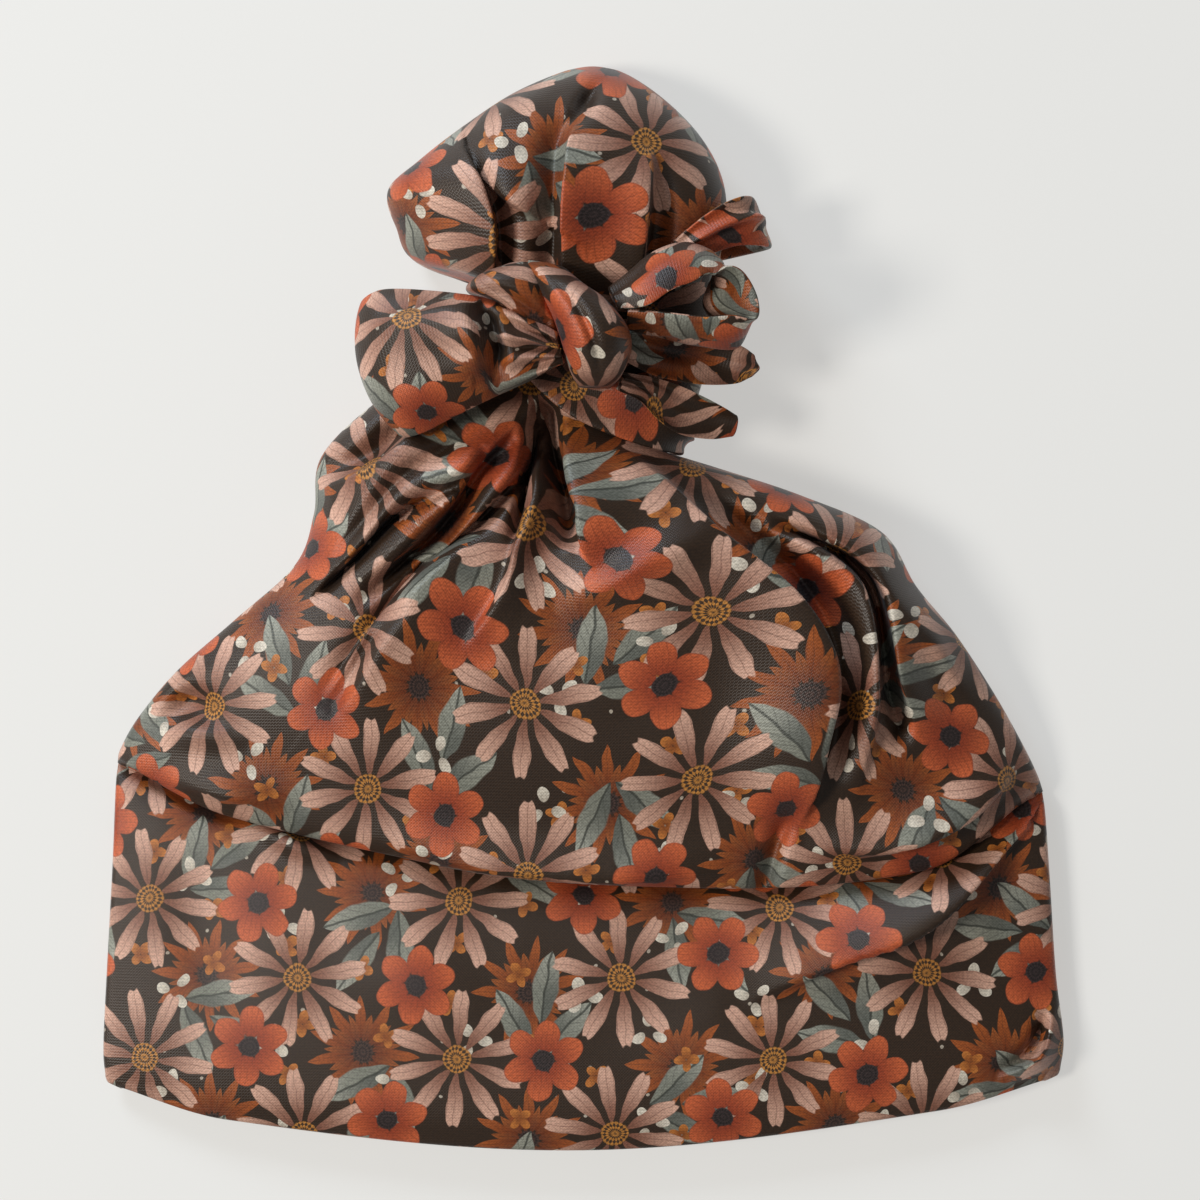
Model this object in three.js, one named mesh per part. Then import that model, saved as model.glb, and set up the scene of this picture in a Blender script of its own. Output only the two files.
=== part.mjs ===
// A soft knitted scrub cap lying flat on a table: a wide band round the mouth, a gathered crown, a tie
// wound round the neck and knotted in a bow, and a pouch for a bun of hair above the tie.
// Millimetres. X runs across the cap, Y from the mouth towards the bun, Z up from the table.

import * as THREE from 'three';

// Driving sizes
const WALL = 2.2; // doubled stretch cloth of the band, crown and pouch
const SLOPE_SHARE = 1.25; // upright share of that wall, so that it stays full on sloping folds
const TIE_WALL = 2.2; // the tie's doubled cloth
const SEAM_GAP = 0.5; // clear space between the band's and the crown's edges
const SWELL_POWER = 2.4; // how boxy the upper outline of a section is
const FLAT_SHARE = 0.86; // share of a section's width that lies flat underneath

// Facets
const TOP_STEPS = 40; // across the upper layer of the band and crown
const POUCH_TOP_STEPS = 24;
const LUMP_TOP_STEPS = 9;
const BAND_ROWS = 7;
const CROWN_ROWS = 24;
const POUCH_ROWS = 15;
const LUMP_ROWS = 10;
const STRAP_ACROSS = 5;
const STRAP_STEPS = { sideFold: 10, leftLoop: 22, rightLoop: 20, tail: 8, wrap: 26 };
const UNDER_STOPS = [0.985, 0.93, FLAT_SHARE, 0.45, 0, -0.45, -FLAT_SHARE, -0.93, -0.985];
const PATH_STEPS = 20; // straight pieces that stand for a fold's curved path
const FACET_REACH = 5; // narrowest side of a fold that the facets can show

// Places across a section where its y is given: left edge, left inner, middle, right inner, right edge
const ACROSS_KNOTS = [-1, -0.75, 0, 0.75, 1];

// Share of a bag's length over which its folds die away at a sewn edge
const EDGE_FADE = 0.07;

// Share of a bag's half width over which its folds die away at its left and right edges
const SIDE_FADE = { band: 0.08, crown: 0.08, pouch: 0.17, lump: 0.1 };

// Share of the pouch's length that its closed top takes up
const POUCH_END_SHARE = 0.05;

// The neck: a slanted line of gathers that the tie is wound round
const NECK = {
  x: 1,
  y: 62.5,
  along: new THREE.Vector2(0.789, -0.615), // from the left end of the gathers to the right one
  towardBun: new THREE.Vector2(0.615, 0.789),
};

// Cloth colours
const CLOTH_BROWN = 0x6d4a3e;
const TIE_BROWN = 0x72493b;
const CLOTH_ROUGHNESS = 0.85;

// Turns rows of values into objects with named columns.
function table(columns, rows) {
  return rows.map((row) => Object.fromEntries(columns.map((column, i) => [column, row[i]])));
}

const SECTION_COLUMNS = [
  'xLeft', 'xRight', 'yLeft', 'yLeftIn', 'yMid', 'yRightIn', 'yRight', 'top', 'side', 'base', 'lean',
];

// Band, from the hem at the mouth to the seam
const BAND_SECTIONS = table(SECTION_COLUMNS, [
  [-133.6, 132.4, -131, -141, -149.6, -138.5, -129, 10.5, 4.5, 0, 0],
  [-134.0, 133.2, -122, -132, -141, -130, -120, 12.5, 5.5, 0, 0],
  [-132.8, 131.0, -98, -110, -122, -112, -102, 14.5, 6, 0, 0],
  [-131.4, 129.4, -72, -84, -99, -94, -77, 14.0, 6, 0, 0],
  [-130.4, 127.8, -46.3, -60, -77, -74.5, -53.8, 10.5, 5, 0, 0],
]);

// Crown, from the seam to the neck; lean pushes the upper layer over the seam
const CROWN_SECTIONS = table(SECTION_COLUMNS, [
  [-130.4, 127.8, -46.3, -60, -77, -74.5, -53.8, 10.5, 5, 0, 0],
  [-129.0, 125.6, -40, -54, -71.5, -67.5, -47, 20, 7, 0, 3.6],
  [-123.6, 121.0, -31, -42, -58, -54, -38, 27, 9, 0, 2],
  [-112.6, 113.0, -18, -26, -38, -34, -24, 33, 10, 0, 0],
  [-96.6, 102.4, -4, -9, -17, -14, -8, 36, 11, 0, 0],
  [-80.0, 91.6, 11, 9, 3, 3, 5, 37, 12, 0, 0],
  [-74.8, 82.0, 25, 25, 22, 20, 20, 36, 12, 0, 0],
  [-72.6, 60.0, 41, 41, 38, 32, 30, 33, 12, 0, 0],
  [-56.0, 37.0, 57, 56, 47.5, 40, 37.5, 30, 13, 0, 0],
  [-29.0, 21.5, 74.5, 70, 56, 45, 42.2, 24.5, 13, 3.2, 0],
  [-22.1, 23.0, 80, 75.6, 62.2, 49, 45, 24.5, 14, 3.2, 0],
]);

// Pouch, from the throat to the closed top
const POUCH_SECTIONS = table(SECTION_COLUMNS, [
  [-21.3, 23.8, 81.1, 76.7, 63.3, 50.1, 46.1, 24.5, 14, 3.2, 0],
  [-17.6, 29.0, 88, 83.4, 69.6, 56.2, 52, 24.5, 14, 3.2, 0],
  [-37.0, 35.0, 95, 92, 82, 76, 72, 30, 15, 0, 0],
  [-51.0, 37.0, 105, 103, 98, 95, 93, 36, 16, 0, 0],
  [-54.0, 39.0, 114, 114, 112, 110, 109, 39, 17, 0, 0],
  [-46.0, 37.0, 122, 123, 125, 122, 120, 37, 15, 0, 0],
  [-35.0, 31.0, 131, 132.5, 136, 132.5, 130.5, 31, 13, 0, 0],
  [-21.0, 22.0, 141, 142, 144.6, 142, 140, 22, 10, 0, 0],
  [-8.0, 12.0, 148, 148.3, 149.2, 148.3, 147.5, 11, 6, 0, 0],
]);

// Knot, from its upper end to its lower one
const KNOT_SECTIONS = table(SECTION_COLUMNS, [
  [-11, 1, 93, 92.6, 91.5, 90.4, 90, 45, 41, 38, 0],
  [-13.5, 4, 90, 89.5, 88, 86.5, 86, 52, 44, 36, 0],
  [-10.5, 6.5, 83, 82.8, 82, 81.2, 81, 57, 46, 34.5, 0],
  [-7, 12, 75.5, 75.3, 74.8, 74.2, 74, 60, 46, 31, 0],
  [-5, 12.5, 68, 68, 68, 68, 68, 59, 44, 28.8, 0],
  [-3, 9, 62, 62, 61.8, 61.6, 61.5, 53, 41, 28.8, 0],
  [-1.5, 6.5, 59, 59, 58.9, 58.8, 58.7, 45, 38, 32, 0],
]);

// Shoulder of the tie that rises into the knot, from its lower end to its upper one
const SHOULDER_SECTIONS = table(SECTION_COLUMNS, [
  [-15, -8.2, 78, 77.8, 77, 76.8, 76.6, 47, 42, 37, 0],
  [-24, -10.4, 81.5, 81.2, 80.6, 80.2, 80, 50, 41, 33, 0],
  [-30, -13, 84, 84.2, 84.5, 85, 85, 50, 40, 31, 0],
  [-27, -14.4, 88, 88.1, 88.2, 88.4, 88.5, 47, 40, 33, 0],
  [-21, -15.2, 91, 91, 91, 91, 91, 42, 39.5, 37, 0],
]);

// Folds of cloth: the path of each ridge (rise up) or valley (rise down), the rise at each point of the
// path, and how far the fold reaches to the left and right of someone walking along that path
const FOLD_COLUMNS = ['name', 'path', 'rise', 'left', 'right'];

const BAND_FOLDS = table(FOLD_COLUMNS, [
  ['diagonal crease', [[44, -109], [70, -96], [93, -85], [121, -60]], [0, 3, 4, 1], 11, 5],
  ['corner curl', [[129, -106], [121, -121], [125, -130]], [0, 3, 4], 3, 6],
  ['left sag', [[-118, -62], [-106, -88], [-100, -120]], [0, -1.5, 0], 12, 12],
]);

const CROWN_FOLDS = table(FOLD_COLUMNS, [
  ['left shoulder ridge', [[-42, 47], [-58, 39], [-72, 33]], [0, 5, 2], 6, 7],
  ['first valley', [[-8, 60], [-29, 28], [-72, 2]], [-3, -10, -2], 8, 6],
  ['strip between', [[-14, 46], [-30, 30], [-47, 13.5]], [0, 5, 1], 4, 4],
  ['second valley', [[-9, 52], [-26, 27], [-45, 11], [-56, 4]], [-3, -9, -7, 0], 3.5, 4],
  ['sharp left ridge', [[-30, 20], [-42, 5], [-55, -10], [-70, -27]], [0, 7, 6, 0], 4, 11],
  ['left pocket', [[-122, -28], [-112, -27], [-100, -28]], [0, -7, 0], 5, 4],
  ['left hem roll', [[-112, -44], [-96, -46], [-76, -52]], [0, 5, 0], 6, 5],
  ['centre ridge', [[-9, 50], [-12.5, 29], [-17, 18], [-22, 0], [-33, -17]], [0, 6, 6, 4, 0], 4, 4],
  ['deep valley', [[-3, 58], [-4.5, 30], [-6, 10], [-10, -6]], [-4, -12, -8, 0], 4, 3.5],
  ['centre panel', [[9, 45], [12, 20], [15, 4], [14, -30]], [0, 4, 5, 0], 18, 26],
  ['right overhang', [[24, 48], [42, 29], [58, 4], [67, -18], [65, -40], [57, -70]], [0, 6, 8, 9, 8, 2], 22, 3.5],
  ['behind overhang', [[33, 46], [49, 28], [65, 4], [73, -18], [71, -44]], [-2, -5, -7, -8, 0], 4, 4],
  ['right ridge', [[44, 24], [70, 11], [80, -11], [80, -36], [77, -58]], [0, 5, 6, 5, 0], 5, 4],
  ['right valley', [[54, 25], [81, 4], [87, -22], [86, -50]], [0, -8, -9, 0], 4, 6],
  ['right shoulder', [[72, 18], [92, -4], [104, -30], [112, -46]], [0, 5, 5, 0], 7, 9],
]);

const POUCH_FOLDS = table(FOLD_COLUMNS, [
  ['panel left edge', [[-6, 86], [-5, 109], [-5, 132]], [2, 6, 0], 3, 12],
  ['panel right edge', [[15, 90], [17.5, 113], [14, 134]], [2, 5, 0], 12, 3.5],
  ['left dart', [[-12, 92], [-18, 109], [-33, 128]], [2, 6, 2], 6, 4],
  ['lower left roll', [[-16, 92], [-34, 99], [-50, 109]], [-3, -6, -3], 4, 5],
  ['right dart', [[22, 92], [30, 108], [31, 124]], [0, -5, 0], 4, 5],
]);

// Straps of the bow: the two edges a and b of the cloth at stations along it, and how far it puffs
// out between them
const STRAP_COLUMNS = ['ax', 'ay', 'az', 'bx', 'by', 'bz', 'puff'];

const LEFT_LOOP = table(STRAP_COLUMNS, [
  [-6.2, 71, 47, -5, 66.5, 45, 1],
  [-17, 74.5, 48, -15, 60, 45, 3],
  [-29, 79.5, 48, -27, 53, 44, 4],
  [-45, 85, 46, -38, 48, 42, 4],
  [-57, 85.5, 43, -45, 45.5, 39, 2],
  [-61, 82.5, 38, -48, 46, 35, 0],
  [-56, 83.5, 33.7, -45, 47.5, 31.3, 0],
  [-45, 82.5, 32.2, -38, 50, 30.8, 0],
  [-29, 78, 34, -27, 55, 32, 0],
  [-17, 73.5, 37, -16, 62, 36, 0],
  [-6.7, 71, 39, -5.7, 66.5, 39, 0],
]);

const RIGHT_LOOP = table(STRAP_COLUMNS, [
  [6.8, 83.6, 51, 7.2, 84.2, 37, 0],
  [21, 88.5, 54, 21, 90, 34.5, 1],
  [31, 91.5, 54, 31.5, 93.5, 33.6, 1],
  [37.5, 91.5, 53, 39, 93, 33.4, 1],
  [42, 87, 51, 45.5, 87.5, 33.2, 1],
  [43.5, 80.5, 50, 46.5, 79.5, 33.2, 1],
  [40, 75, 50, 42, 73, 33.4, 1],
  [30, 74.5, 51, 30.5, 72.4, 33.6, 1],
  [20, 76.5, 51, 20, 74.6, 34.6, 1],
  [11, 78, 50, 11.7, 76.6, 37, 0],
]);

const UPPER_TAIL = table(STRAP_COLUMNS, [
  [13.4, 74.5, 34, 13.4, 66.5, 36.5, 1],
  [24, 73.5, 29, 22, 63.5, 33.4, 2],
  [34, 72, 28, 32, 61.5, 31, 2],
  [43, 70.5, 27.5, 42.5, 61, 27.8, 2],
  [46, 69, 26, 45.5, 62.5, 26, 1],
]);

const LOWER_TAIL = table(STRAP_COLUMNS, [
  [11.8, 65, 32.6, 9.8, 60.5, 33.4, 0],
  [22, 63, 28.6, 18, 55, 31, 1],
  [31, 60.5, 26, 26, 49.5, 28.6, 2],
  [39, 56, 24, 35, 47.5, 25.4, 1],
  [42.5, 53.5, 22.5, 41.5, 48.5, 23, 0],
]);

const SIDE_FOLD = table(STRAP_COLUMNS, [
  [25, 104, 33.6, 27.5, 97.6, 32, 1],
  [35, 109.5, 33, 37.5, 98.8, 31.5, 2],
  [43.5, 113, 30.5, 46, 101, 29.5, 2],
  [48.5, 110.5, 25, 50.5, 99.5, 24.5, 1],
  [47.5, 107, 18.5, 48.5, 97, 18.5, 0],
  [42.5, 105, 15.5, 42, 96, 15.5, 0],
]);

// Turn of the tie round the neck: place along the line of gathers, height, and where the cloth's two
// edges lie from the crown's side to the bun's side of that line
const WRAP_TURN = table(['along', 'height', 'from', 'to'], [
  [32.4, 13, 0, 5.5],
  [25, 24, -4, 7],
  [0, 27.2, -8, 8],
  [-25, 24.6, -8, 7],
  [-33.4, 13, -7, 6],
  [-28, 2.2, -5, 6],
  [0, 1.4, -5, 6],
  [28, 2.2, -2, 5],
]);

function clamp(value, low, high) {
  return Math.min(high, Math.max(low, value));
}

function smoothStep(value) {
  const t = clamp(value, 0, 1);
  return t * t * (3 - 2 * t);
}

// A smooth curve through values given at rising knots, read at one place.
function through(knots, values, at) {
  const last = knots.length - 1;
  let i = 0;
  while (i < last - 1 && at > knots[i + 1]) {
    i += 1;
  }
  const slope = (k) => {
    const before = Math.max(k - 1, 0);
    const after = Math.min(k + 1, last);
    return (values[after] - values[before]) / (knots[after] - knots[before]);
  };
  const span = knots[i + 1] - knots[i];
  const t = clamp((at - knots[i]) / span, 0, 1);
  const t2 = t * t;
  const t3 = t2 * t;
  return (
    (2 * t3 - 3 * t2 + 1) * values[i] +
    (t3 - 2 * t2 + t) * span * slope(i) +
    (3 * t2 - 2 * t3) * values[i + 1] +
    (t3 - t2) * span * slope(i + 1)
  );
}

// Every named column of a table, read at a share of its length.
function rowAt(rows, share) {
  const knots = rows.map((row, i) => i / (rows.length - 1));
  const columns = Object.keys(rows[0]);
  return Object.fromEntries(
    columns.map((column) => [column, through(knots, rows.map((row) => row[column]), share)]),
  );
}

// The straight pieces of a fold's path, with the rise at each point.
function foldPath(fold) {
  const knots = fold.path.map((point, i) => i / (fold.path.length - 1));
  const points = [];
  for (let step = 0; step <= PATH_STEPS; step += 1) {
    const share = step / PATH_STEPS;
    points.push({
      x: through(knots, fold.path.map((point) => point[0]), share),
      y: through(knots, fold.path.map((point) => point[1]), share),
      rise: through(knots, fold.rise, share),
    });
  }
  return {
    points,
    left: Math.max(fold.left, FACET_REACH),
    right: Math.max(fold.right, FACET_REACH),
  };
}

// How high one fold stands over the point x, y.
function foldHeight(fold, x, y) {
  let nearest = Infinity;
  let height = 0;
  for (let i = 0; i < PATH_STEPS; i += 1) {
    const a = fold.points[i];
    const b = fold.points[i + 1];
    const dx = b.x - a.x;
    const dy = b.y - a.y;
    const t = clamp(((x - a.x) * dx + (y - a.y) * dy) / (dx * dx + dy * dy), 0, 1);
    const distance = Math.hypot(x - a.x - t * dx, y - a.y - t * dy);
    if (distance < nearest) {
      nearest = distance;
      const onLeft = dx * (y - a.y) - dy * (x - a.x) > 0;
      const reach = onLeft ? fold.left : fold.right;
      height = (a.rise + t * (b.rise - a.rise)) * Math.exp(-((distance / reach) ** 2));
    }
  }
  return height;
}

// A point of a bag's upper or under layer. across runs from -1 at the left edge to 1 at the right one;
// inset is 0 on the outside and the wall's thickness on the inside.
function bagPoint(bag, along, across, upper, inset) {
  const s = rowAt(bag.sections, along);
  const yGiven = [s.yLeft, s.yLeftIn, s.yMid, s.yRightIn, s.yRight];
  const x = (s.xLeft + s.xRight) / 2 + ((s.xRight - s.xLeft) / 2 - inset) * across;
  const y = through(ACROSS_KNOTS, yGiven, across);
  const reach = Math.abs(across);
  if (!upper) {
    const bend = clamp((reach - FLAT_SHARE) / (1 - FLAT_SHARE), 0, 1);
    const floor = Math.max(s.base, 0) + inset;
    return [x, y, floor + (s.side - floor) * (1 - Math.sqrt(1 - bend * bend))];
  }
  const swell = (1 - reach ** SWELL_POWER) ** (1 / SWELL_POWER);
  const ceiling = s.top - inset * SLOPE_SHARE;
  let folds = 0;
  for (const fold of bag.folds) {
    folds += foldHeight(fold, x, y);
  }
  folds *= smoothStep(along / EDGE_FADE) * smoothStep((1 - reach) / bag.sideFade);
  folds *= bag.sewnFarEnd ? smoothStep((1 - along) / (2 * EDGE_FADE)) : 1;
  return [x, y - s.lean * swell, s.side + (ceiling - s.side) * swell + folds];
}

// One closed ring of points round a bag: over the upper layer from left to right, back underneath.
function bagRing(bag, along, inset) {
  const ring = [];
  for (let i = 0; i <= bag.topSteps; i += 1) {
    ring.push(bagPoint(bag, along, (2 * i) / bag.topSteps - 1, true, inset));
  }
  for (const across of UNDER_STOPS) {
    ring.push(bagPoint(bag, along, across, false, inset));
  }
  return ring;
}

function centreOf(ring) {
  const sum = ring.reduce((total, p) => total.map((value, k) => value + p[k]), [0, 0, 0]);
  return sum.map((value) => value / ring.length);
}

// Collects rings of points into one closed surface.
class Skin {
  constructor() {
    this.points = [];
    this.faces = [];
  }

  addRing(ring) {
    const first = this.points.length;
    this.points.push(...ring);
    return ring.map((point, i) => first + i);
  }

  // Joins two rings of equal length by a strip of triangles, seen from the front or the back.
  bridge(from, to, fromBehind = false) {
    from.forEach((here, i) => {
      const next = (i + 1) % from.length;
      const strip = [[here, from[next], to[next]], [here, to[next], to[i]]];
      this.faces.push(...(fromBehind ? strip.map((face) => face.reverse()) : strip));
    });
  }

  // Closes a ring with a fan round its centre.
  cap(ring, atEnd) {
    const [middle] = this.addRing([centreOf(ring.map((i) => this.points[i]))]);
    ring.forEach((here, i) => {
      const next = ring[(i + 1) % ring.length];
      this.faces.push(atEnd ? [here, next, middle] : [next, here, middle]);
    });
  }

  // The signed volume, which is positive when the faces point out.
  volume() {
    const [a, b, c] = [new THREE.Vector3(), new THREE.Vector3(), new THREE.Vector3()];
    return this.faces.reduce((sum, face) => {
      a.fromArray(this.points[face[0]]);
      b.fromArray(this.points[face[1]]);
      c.fromArray(this.points[face[2]]);
      return sum + a.dot(b.cross(c)) / 6;
    }, 0);
  }

  geometry() {
    const outward = this.volume() > 0;
    const index = this.faces.flatMap((face) => (outward ? face : [face[0], face[2], face[1]]));
    const geometry = new THREE.BufferGeometry();
    geometry.setAttribute('position', new THREE.Float32BufferAttribute(this.points.flat(), 3));
    geometry.setIndex(index);
    geometry.computeVertexNormals();
    return geometry;
  }
}

// A bag's rings from one share of its length to another.
function bagRings(bag, start, end, inset) {
  const rings = [];
  for (let row = 0; row <= bag.rows; row += 1) {
    rings.push(bagRing(bag, start + ((end - start) * row) / bag.rows, inset));
  }
  return rings;
}

function addRings(skin, rings) {
  const ids = rings.map((ring) => skin.addRing(ring));
  for (let row = 1; row < ids.length; row += 1) {
    skin.bridge(ids[row - 1], ids[row]);
  }
  return ids;
}

// A wall of cloth with a hollow inside: open at the start, and open or closed at the far end.
function hollowBag(bag) {
  const skin = new Skin();
  const outer = addRings(skin, bagRings(bag, 0, 1, 0));
  const inner = addRings(skin, bagRings(bag, 1 - bag.closedShare, 0, WALL));
  const outerEnd = outer[outer.length - 1];
  const innerEnd = inner[0];
  if (bag.closedShare > 0) {
    skin.cap(outerEnd, true);
    skin.cap(innerEnd, false);
  } else {
    skin.bridge(outerEnd, innerEnd);
  }
  skin.bridge(outer[0], inner[inner.length - 1], true);
  return skin.geometry();
}

// A packed lump of cloth, closed at both ends.
function lump(sections) {
  const bag = {
    sections,
    folds: [],
    sideFade: SIDE_FADE.lump,
    topSteps: LUMP_TOP_STEPS,
    rows: LUMP_ROWS,
  };
  const skin = new Skin();
  const rings = addRings(skin, bagRings(bag, 0, 1, 0));
  skin.cap(rings[0], false);
  skin.cap(rings[rings.length - 1], true);
  return skin.geometry();
}

// The ring of points round a strap's cloth at one station.
function strapRing(a, b, puff, normal) {
  const faces = [1, -1].map((side) => {
    const points = [];
    for (let i = 0; i <= STRAP_ACROSS; i += 1) {
      const share = i / STRAP_ACROSS;
      const swell = puff * 4 * share * (1 - share);
      const point = a.clone().lerp(b, share).addScaledVector(normal, swell + (side * TIE_WALL) / 2);
      points.push(point.toArray());
    }
    return points;
  });
  return [...faces[0], ...faces[1].reverse()];
}

// A flat strap of cloth between two edges that are given as functions of the share of its length.
function strapRings(edgesAt, steps, closed) {
  const rings = [];
  const nearby = 0.5 / steps;
  for (let step = 0; step < (closed ? steps : steps + 1); step += 1) {
    const share = step / steps;
    const here = edgesAt(share);
    const before = edgesAt(closed ? share - nearby : Math.max(share - nearby, 0));
    const after = edgesAt(closed ? share + nearby : Math.min(share + nearby, 1));
    const tangent = after.a.clone().add(after.b).sub(before.a).sub(before.b);
    const normal = tangent.cross(here.b.clone().sub(here.a)).normalize();
    rings.push(strapRing(here.a, here.b, here.puff, normal));
  }
  return rings;
}

function strap(stations, steps) {
  const edgesAt = (share) => {
    const s = rowAt(stations, share);
    return {
      a: new THREE.Vector3(s.ax, s.ay, s.az),
      b: new THREE.Vector3(s.bx, s.by, s.bz),
      puff: s.puff,
    };
  };
  const skin = new Skin();
  const rings = addRings(skin, strapRings(edgesAt, steps, false));
  skin.cap(rings[0], false);
  skin.cap(rings[rings.length - 1], true);
  return skin.geometry();
}

// The closed turn of the tie round the neck.
function neckWrap() {
  const looped = [...WRAP_TURN.slice(-2), ...WRAP_TURN, ...WRAP_TURN.slice(0, 3)];
  const pitch = 1 / (looped.length - 1);
  const placed = (s, offset) =>
    new THREE.Vector3(
      NECK.x + NECK.along.x * s.along + NECK.towardBun.x * offset,
      NECK.y + NECK.along.y * s.along + NECK.towardBun.y * offset,
      s.height,
    );
  const edgesAt = (share) => {
    const turn = (((share % 1) + 1) % 1) * WRAP_TURN.length;
    const s = rowAt(looped, (turn + 2) * pitch);
    return { a: placed(s, s.from), b: placed(s, s.to), puff: 0 };
  };
  const skin = new Skin();
  const rings = addRings(skin, strapRings(edgesAt, STRAP_STEPS.wrap, true));
  skin.bridge(rings[rings.length - 1], rings[0]);
  return skin.geometry();
}

function bandGeometry() {
  return hollowBag({
    sections: BAND_SECTIONS,
    folds: BAND_FOLDS.map(foldPath),
    sewnFarEnd: true,
    sideFade: SIDE_FADE.band,
    topSteps: TOP_STEPS,
    rows: BAND_ROWS,
    closedShare: 0,
  });
}

function crownGeometry() {
  const geometry = hollowBag({
    sections: CROWN_SECTIONS,
    folds: CROWN_FOLDS.map(foldPath),
    sideFade: SIDE_FADE.crown,
    topSteps: TOP_STEPS,
    rows: CROWN_ROWS,
    closedShare: 0,
  });
  return geometry.translate(0, SEAM_GAP, 0);
}

function pouchGeometry() {
  return hollowBag({
    sections: POUCH_SECTIONS,
    folds: POUCH_FOLDS.map(foldPath),
    sideFade: SIDE_FADE.pouch,
    topSteps: POUCH_TOP_STEPS,
    rows: POUCH_ROWS,
    closedShare: POUCH_END_SHARE,
  });
}

// The cap's pieces
const PIECES = [
  { name: 'band', geometry: bandGeometry(), colour: CLOTH_BROWN },
  { name: 'crown', geometry: crownGeometry(), colour: CLOTH_BROWN },
  { name: 'bun_pouch', geometry: pouchGeometry(), colour: CLOTH_BROWN },
  { name: 'bun_side_fold', geometry: strap(SIDE_FOLD, STRAP_STEPS.sideFold), colour: CLOTH_BROWN },
  { name: 'tie_wrap', geometry: neckWrap(), colour: TIE_BROWN },
  { name: 'knot', geometry: lump(KNOT_SECTIONS), colour: TIE_BROWN },
  { name: 'knot_fold', geometry: lump(SHOULDER_SECTIONS), colour: TIE_BROWN },
  { name: 'bow_loop_left', geometry: strap(LEFT_LOOP, STRAP_STEPS.leftLoop), colour: TIE_BROWN },
  { name: 'bow_loop_right', geometry: strap(RIGHT_LOOP, STRAP_STEPS.rightLoop), colour: TIE_BROWN },
  { name: 'tie_tail_upper', geometry: strap(UPPER_TAIL, STRAP_STEPS.tail), colour: TIE_BROWN },
  { name: 'tie_tail_lower', geometry: strap(LOWER_TAIL, STRAP_STEPS.tail), colour: TIE_BROWN },
];

const cap = new THREE.Group();
for (const { name, geometry, colour } of PIECES) {
  const material = new THREE.MeshStandardMaterial({
    color: colour,
    roughness: CLOTH_ROUGHNESS,
    metalness: 0,
  });
  const mesh = new THREE.Mesh(geometry, material);
  mesh.name = name;
  cap.add(mesh);
}

export default cap;
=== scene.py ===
# A knitted scrub cap lying flat on a pale table, seen from above: its cloth, its print and the light
import math

import bpy
import numpy as np
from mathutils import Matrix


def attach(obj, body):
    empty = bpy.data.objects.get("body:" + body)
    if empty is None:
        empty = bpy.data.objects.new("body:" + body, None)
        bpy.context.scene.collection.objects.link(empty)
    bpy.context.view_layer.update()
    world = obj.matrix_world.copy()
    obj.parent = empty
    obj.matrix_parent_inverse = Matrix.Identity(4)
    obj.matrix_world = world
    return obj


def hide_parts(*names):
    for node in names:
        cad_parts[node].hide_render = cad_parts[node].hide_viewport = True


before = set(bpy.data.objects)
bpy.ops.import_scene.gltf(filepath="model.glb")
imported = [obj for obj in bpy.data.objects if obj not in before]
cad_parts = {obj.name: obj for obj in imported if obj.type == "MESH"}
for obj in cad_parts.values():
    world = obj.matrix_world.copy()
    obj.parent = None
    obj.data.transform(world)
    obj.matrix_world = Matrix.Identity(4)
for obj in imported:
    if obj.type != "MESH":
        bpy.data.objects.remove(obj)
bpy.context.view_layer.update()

MM = 0.001
TAU = 2 * math.pi
TINY = 1e-9

# Sizes in millimetres: X across the cap, Y from the mouth towards the bun, Z up from the table
WALL = 2.2
TIE_WALL = 3.2
SEAM_GAP = 0.5

# How bags and straps are rounded and stepped, and how softly folds fade and blend
SWELL_POWER = 2.4
FLAT_SHARE = 0.86
EDGE_FADE = 0.05
EDGE_CROWDING = 0.4
PUFF_POWER = 2.6
STRAP_EDGE_POWER = 5
PATH_STEPS = 32
FOLD_REACH = 2.6
FOLD_SOFTNESS = 0.4
FOLD_BLEND = 7
RIM_TURNS = (0.25, 0.5, 0.75)
ACROSS_KNOTS = np.array([-1, -0.75, 0, 0.75, 1])
UNDER_STOPS = np.array([0, 0.3, 0.6, FLAT_SHARE, 0.93, 0.97, 0.99])

# The knit: sizes in metres, how fine its noises are, and how far the painted shade in the hollows between
# stitches and the yarn's uneven tone darken the print
STITCH = 0.0008
STITCH_DEPTH = 0.0002
STITCH_SHADE = 0.22
YARN_SCALE = 1500
YARN_SHADE = 0.2
DRAWN_WOBBLE = 0.0009
WOBBLE_SCALE = 220

# Laying the cloth out flat for its print
FLATTEN_ROUNDS = 10
FLATTEN_STEPS = 30
THINNEST = 0.02

# The neck: a slanted line of gathers that the tie is wound round
NECK_POINT = np.array([1, 62.5])
NECK_ALONG = np.array([0.789, -0.615])
NECK_TOWARD_BUN = np.array([0.615, 0.789])

# Camera, straight above the cap: metres, and its sensor in millimetres
CAMERA_HEIGHT = 0.9
CAMERA_FOOT = (0.0042, 0.0018)
FIELD_WIDTH = 0.336
SENSOR_WIDTH = 36

# Floor, in metres
FLOOR_HALF = 3.0
FLOOR_DROP = 0.0003

SECTION_COLUMNS = ("x_left", "x_right", "y_left", "y_left_in", "y_mid", "y_right_in", "y_right",
                   "top", "side", "base", "lean")

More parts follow.
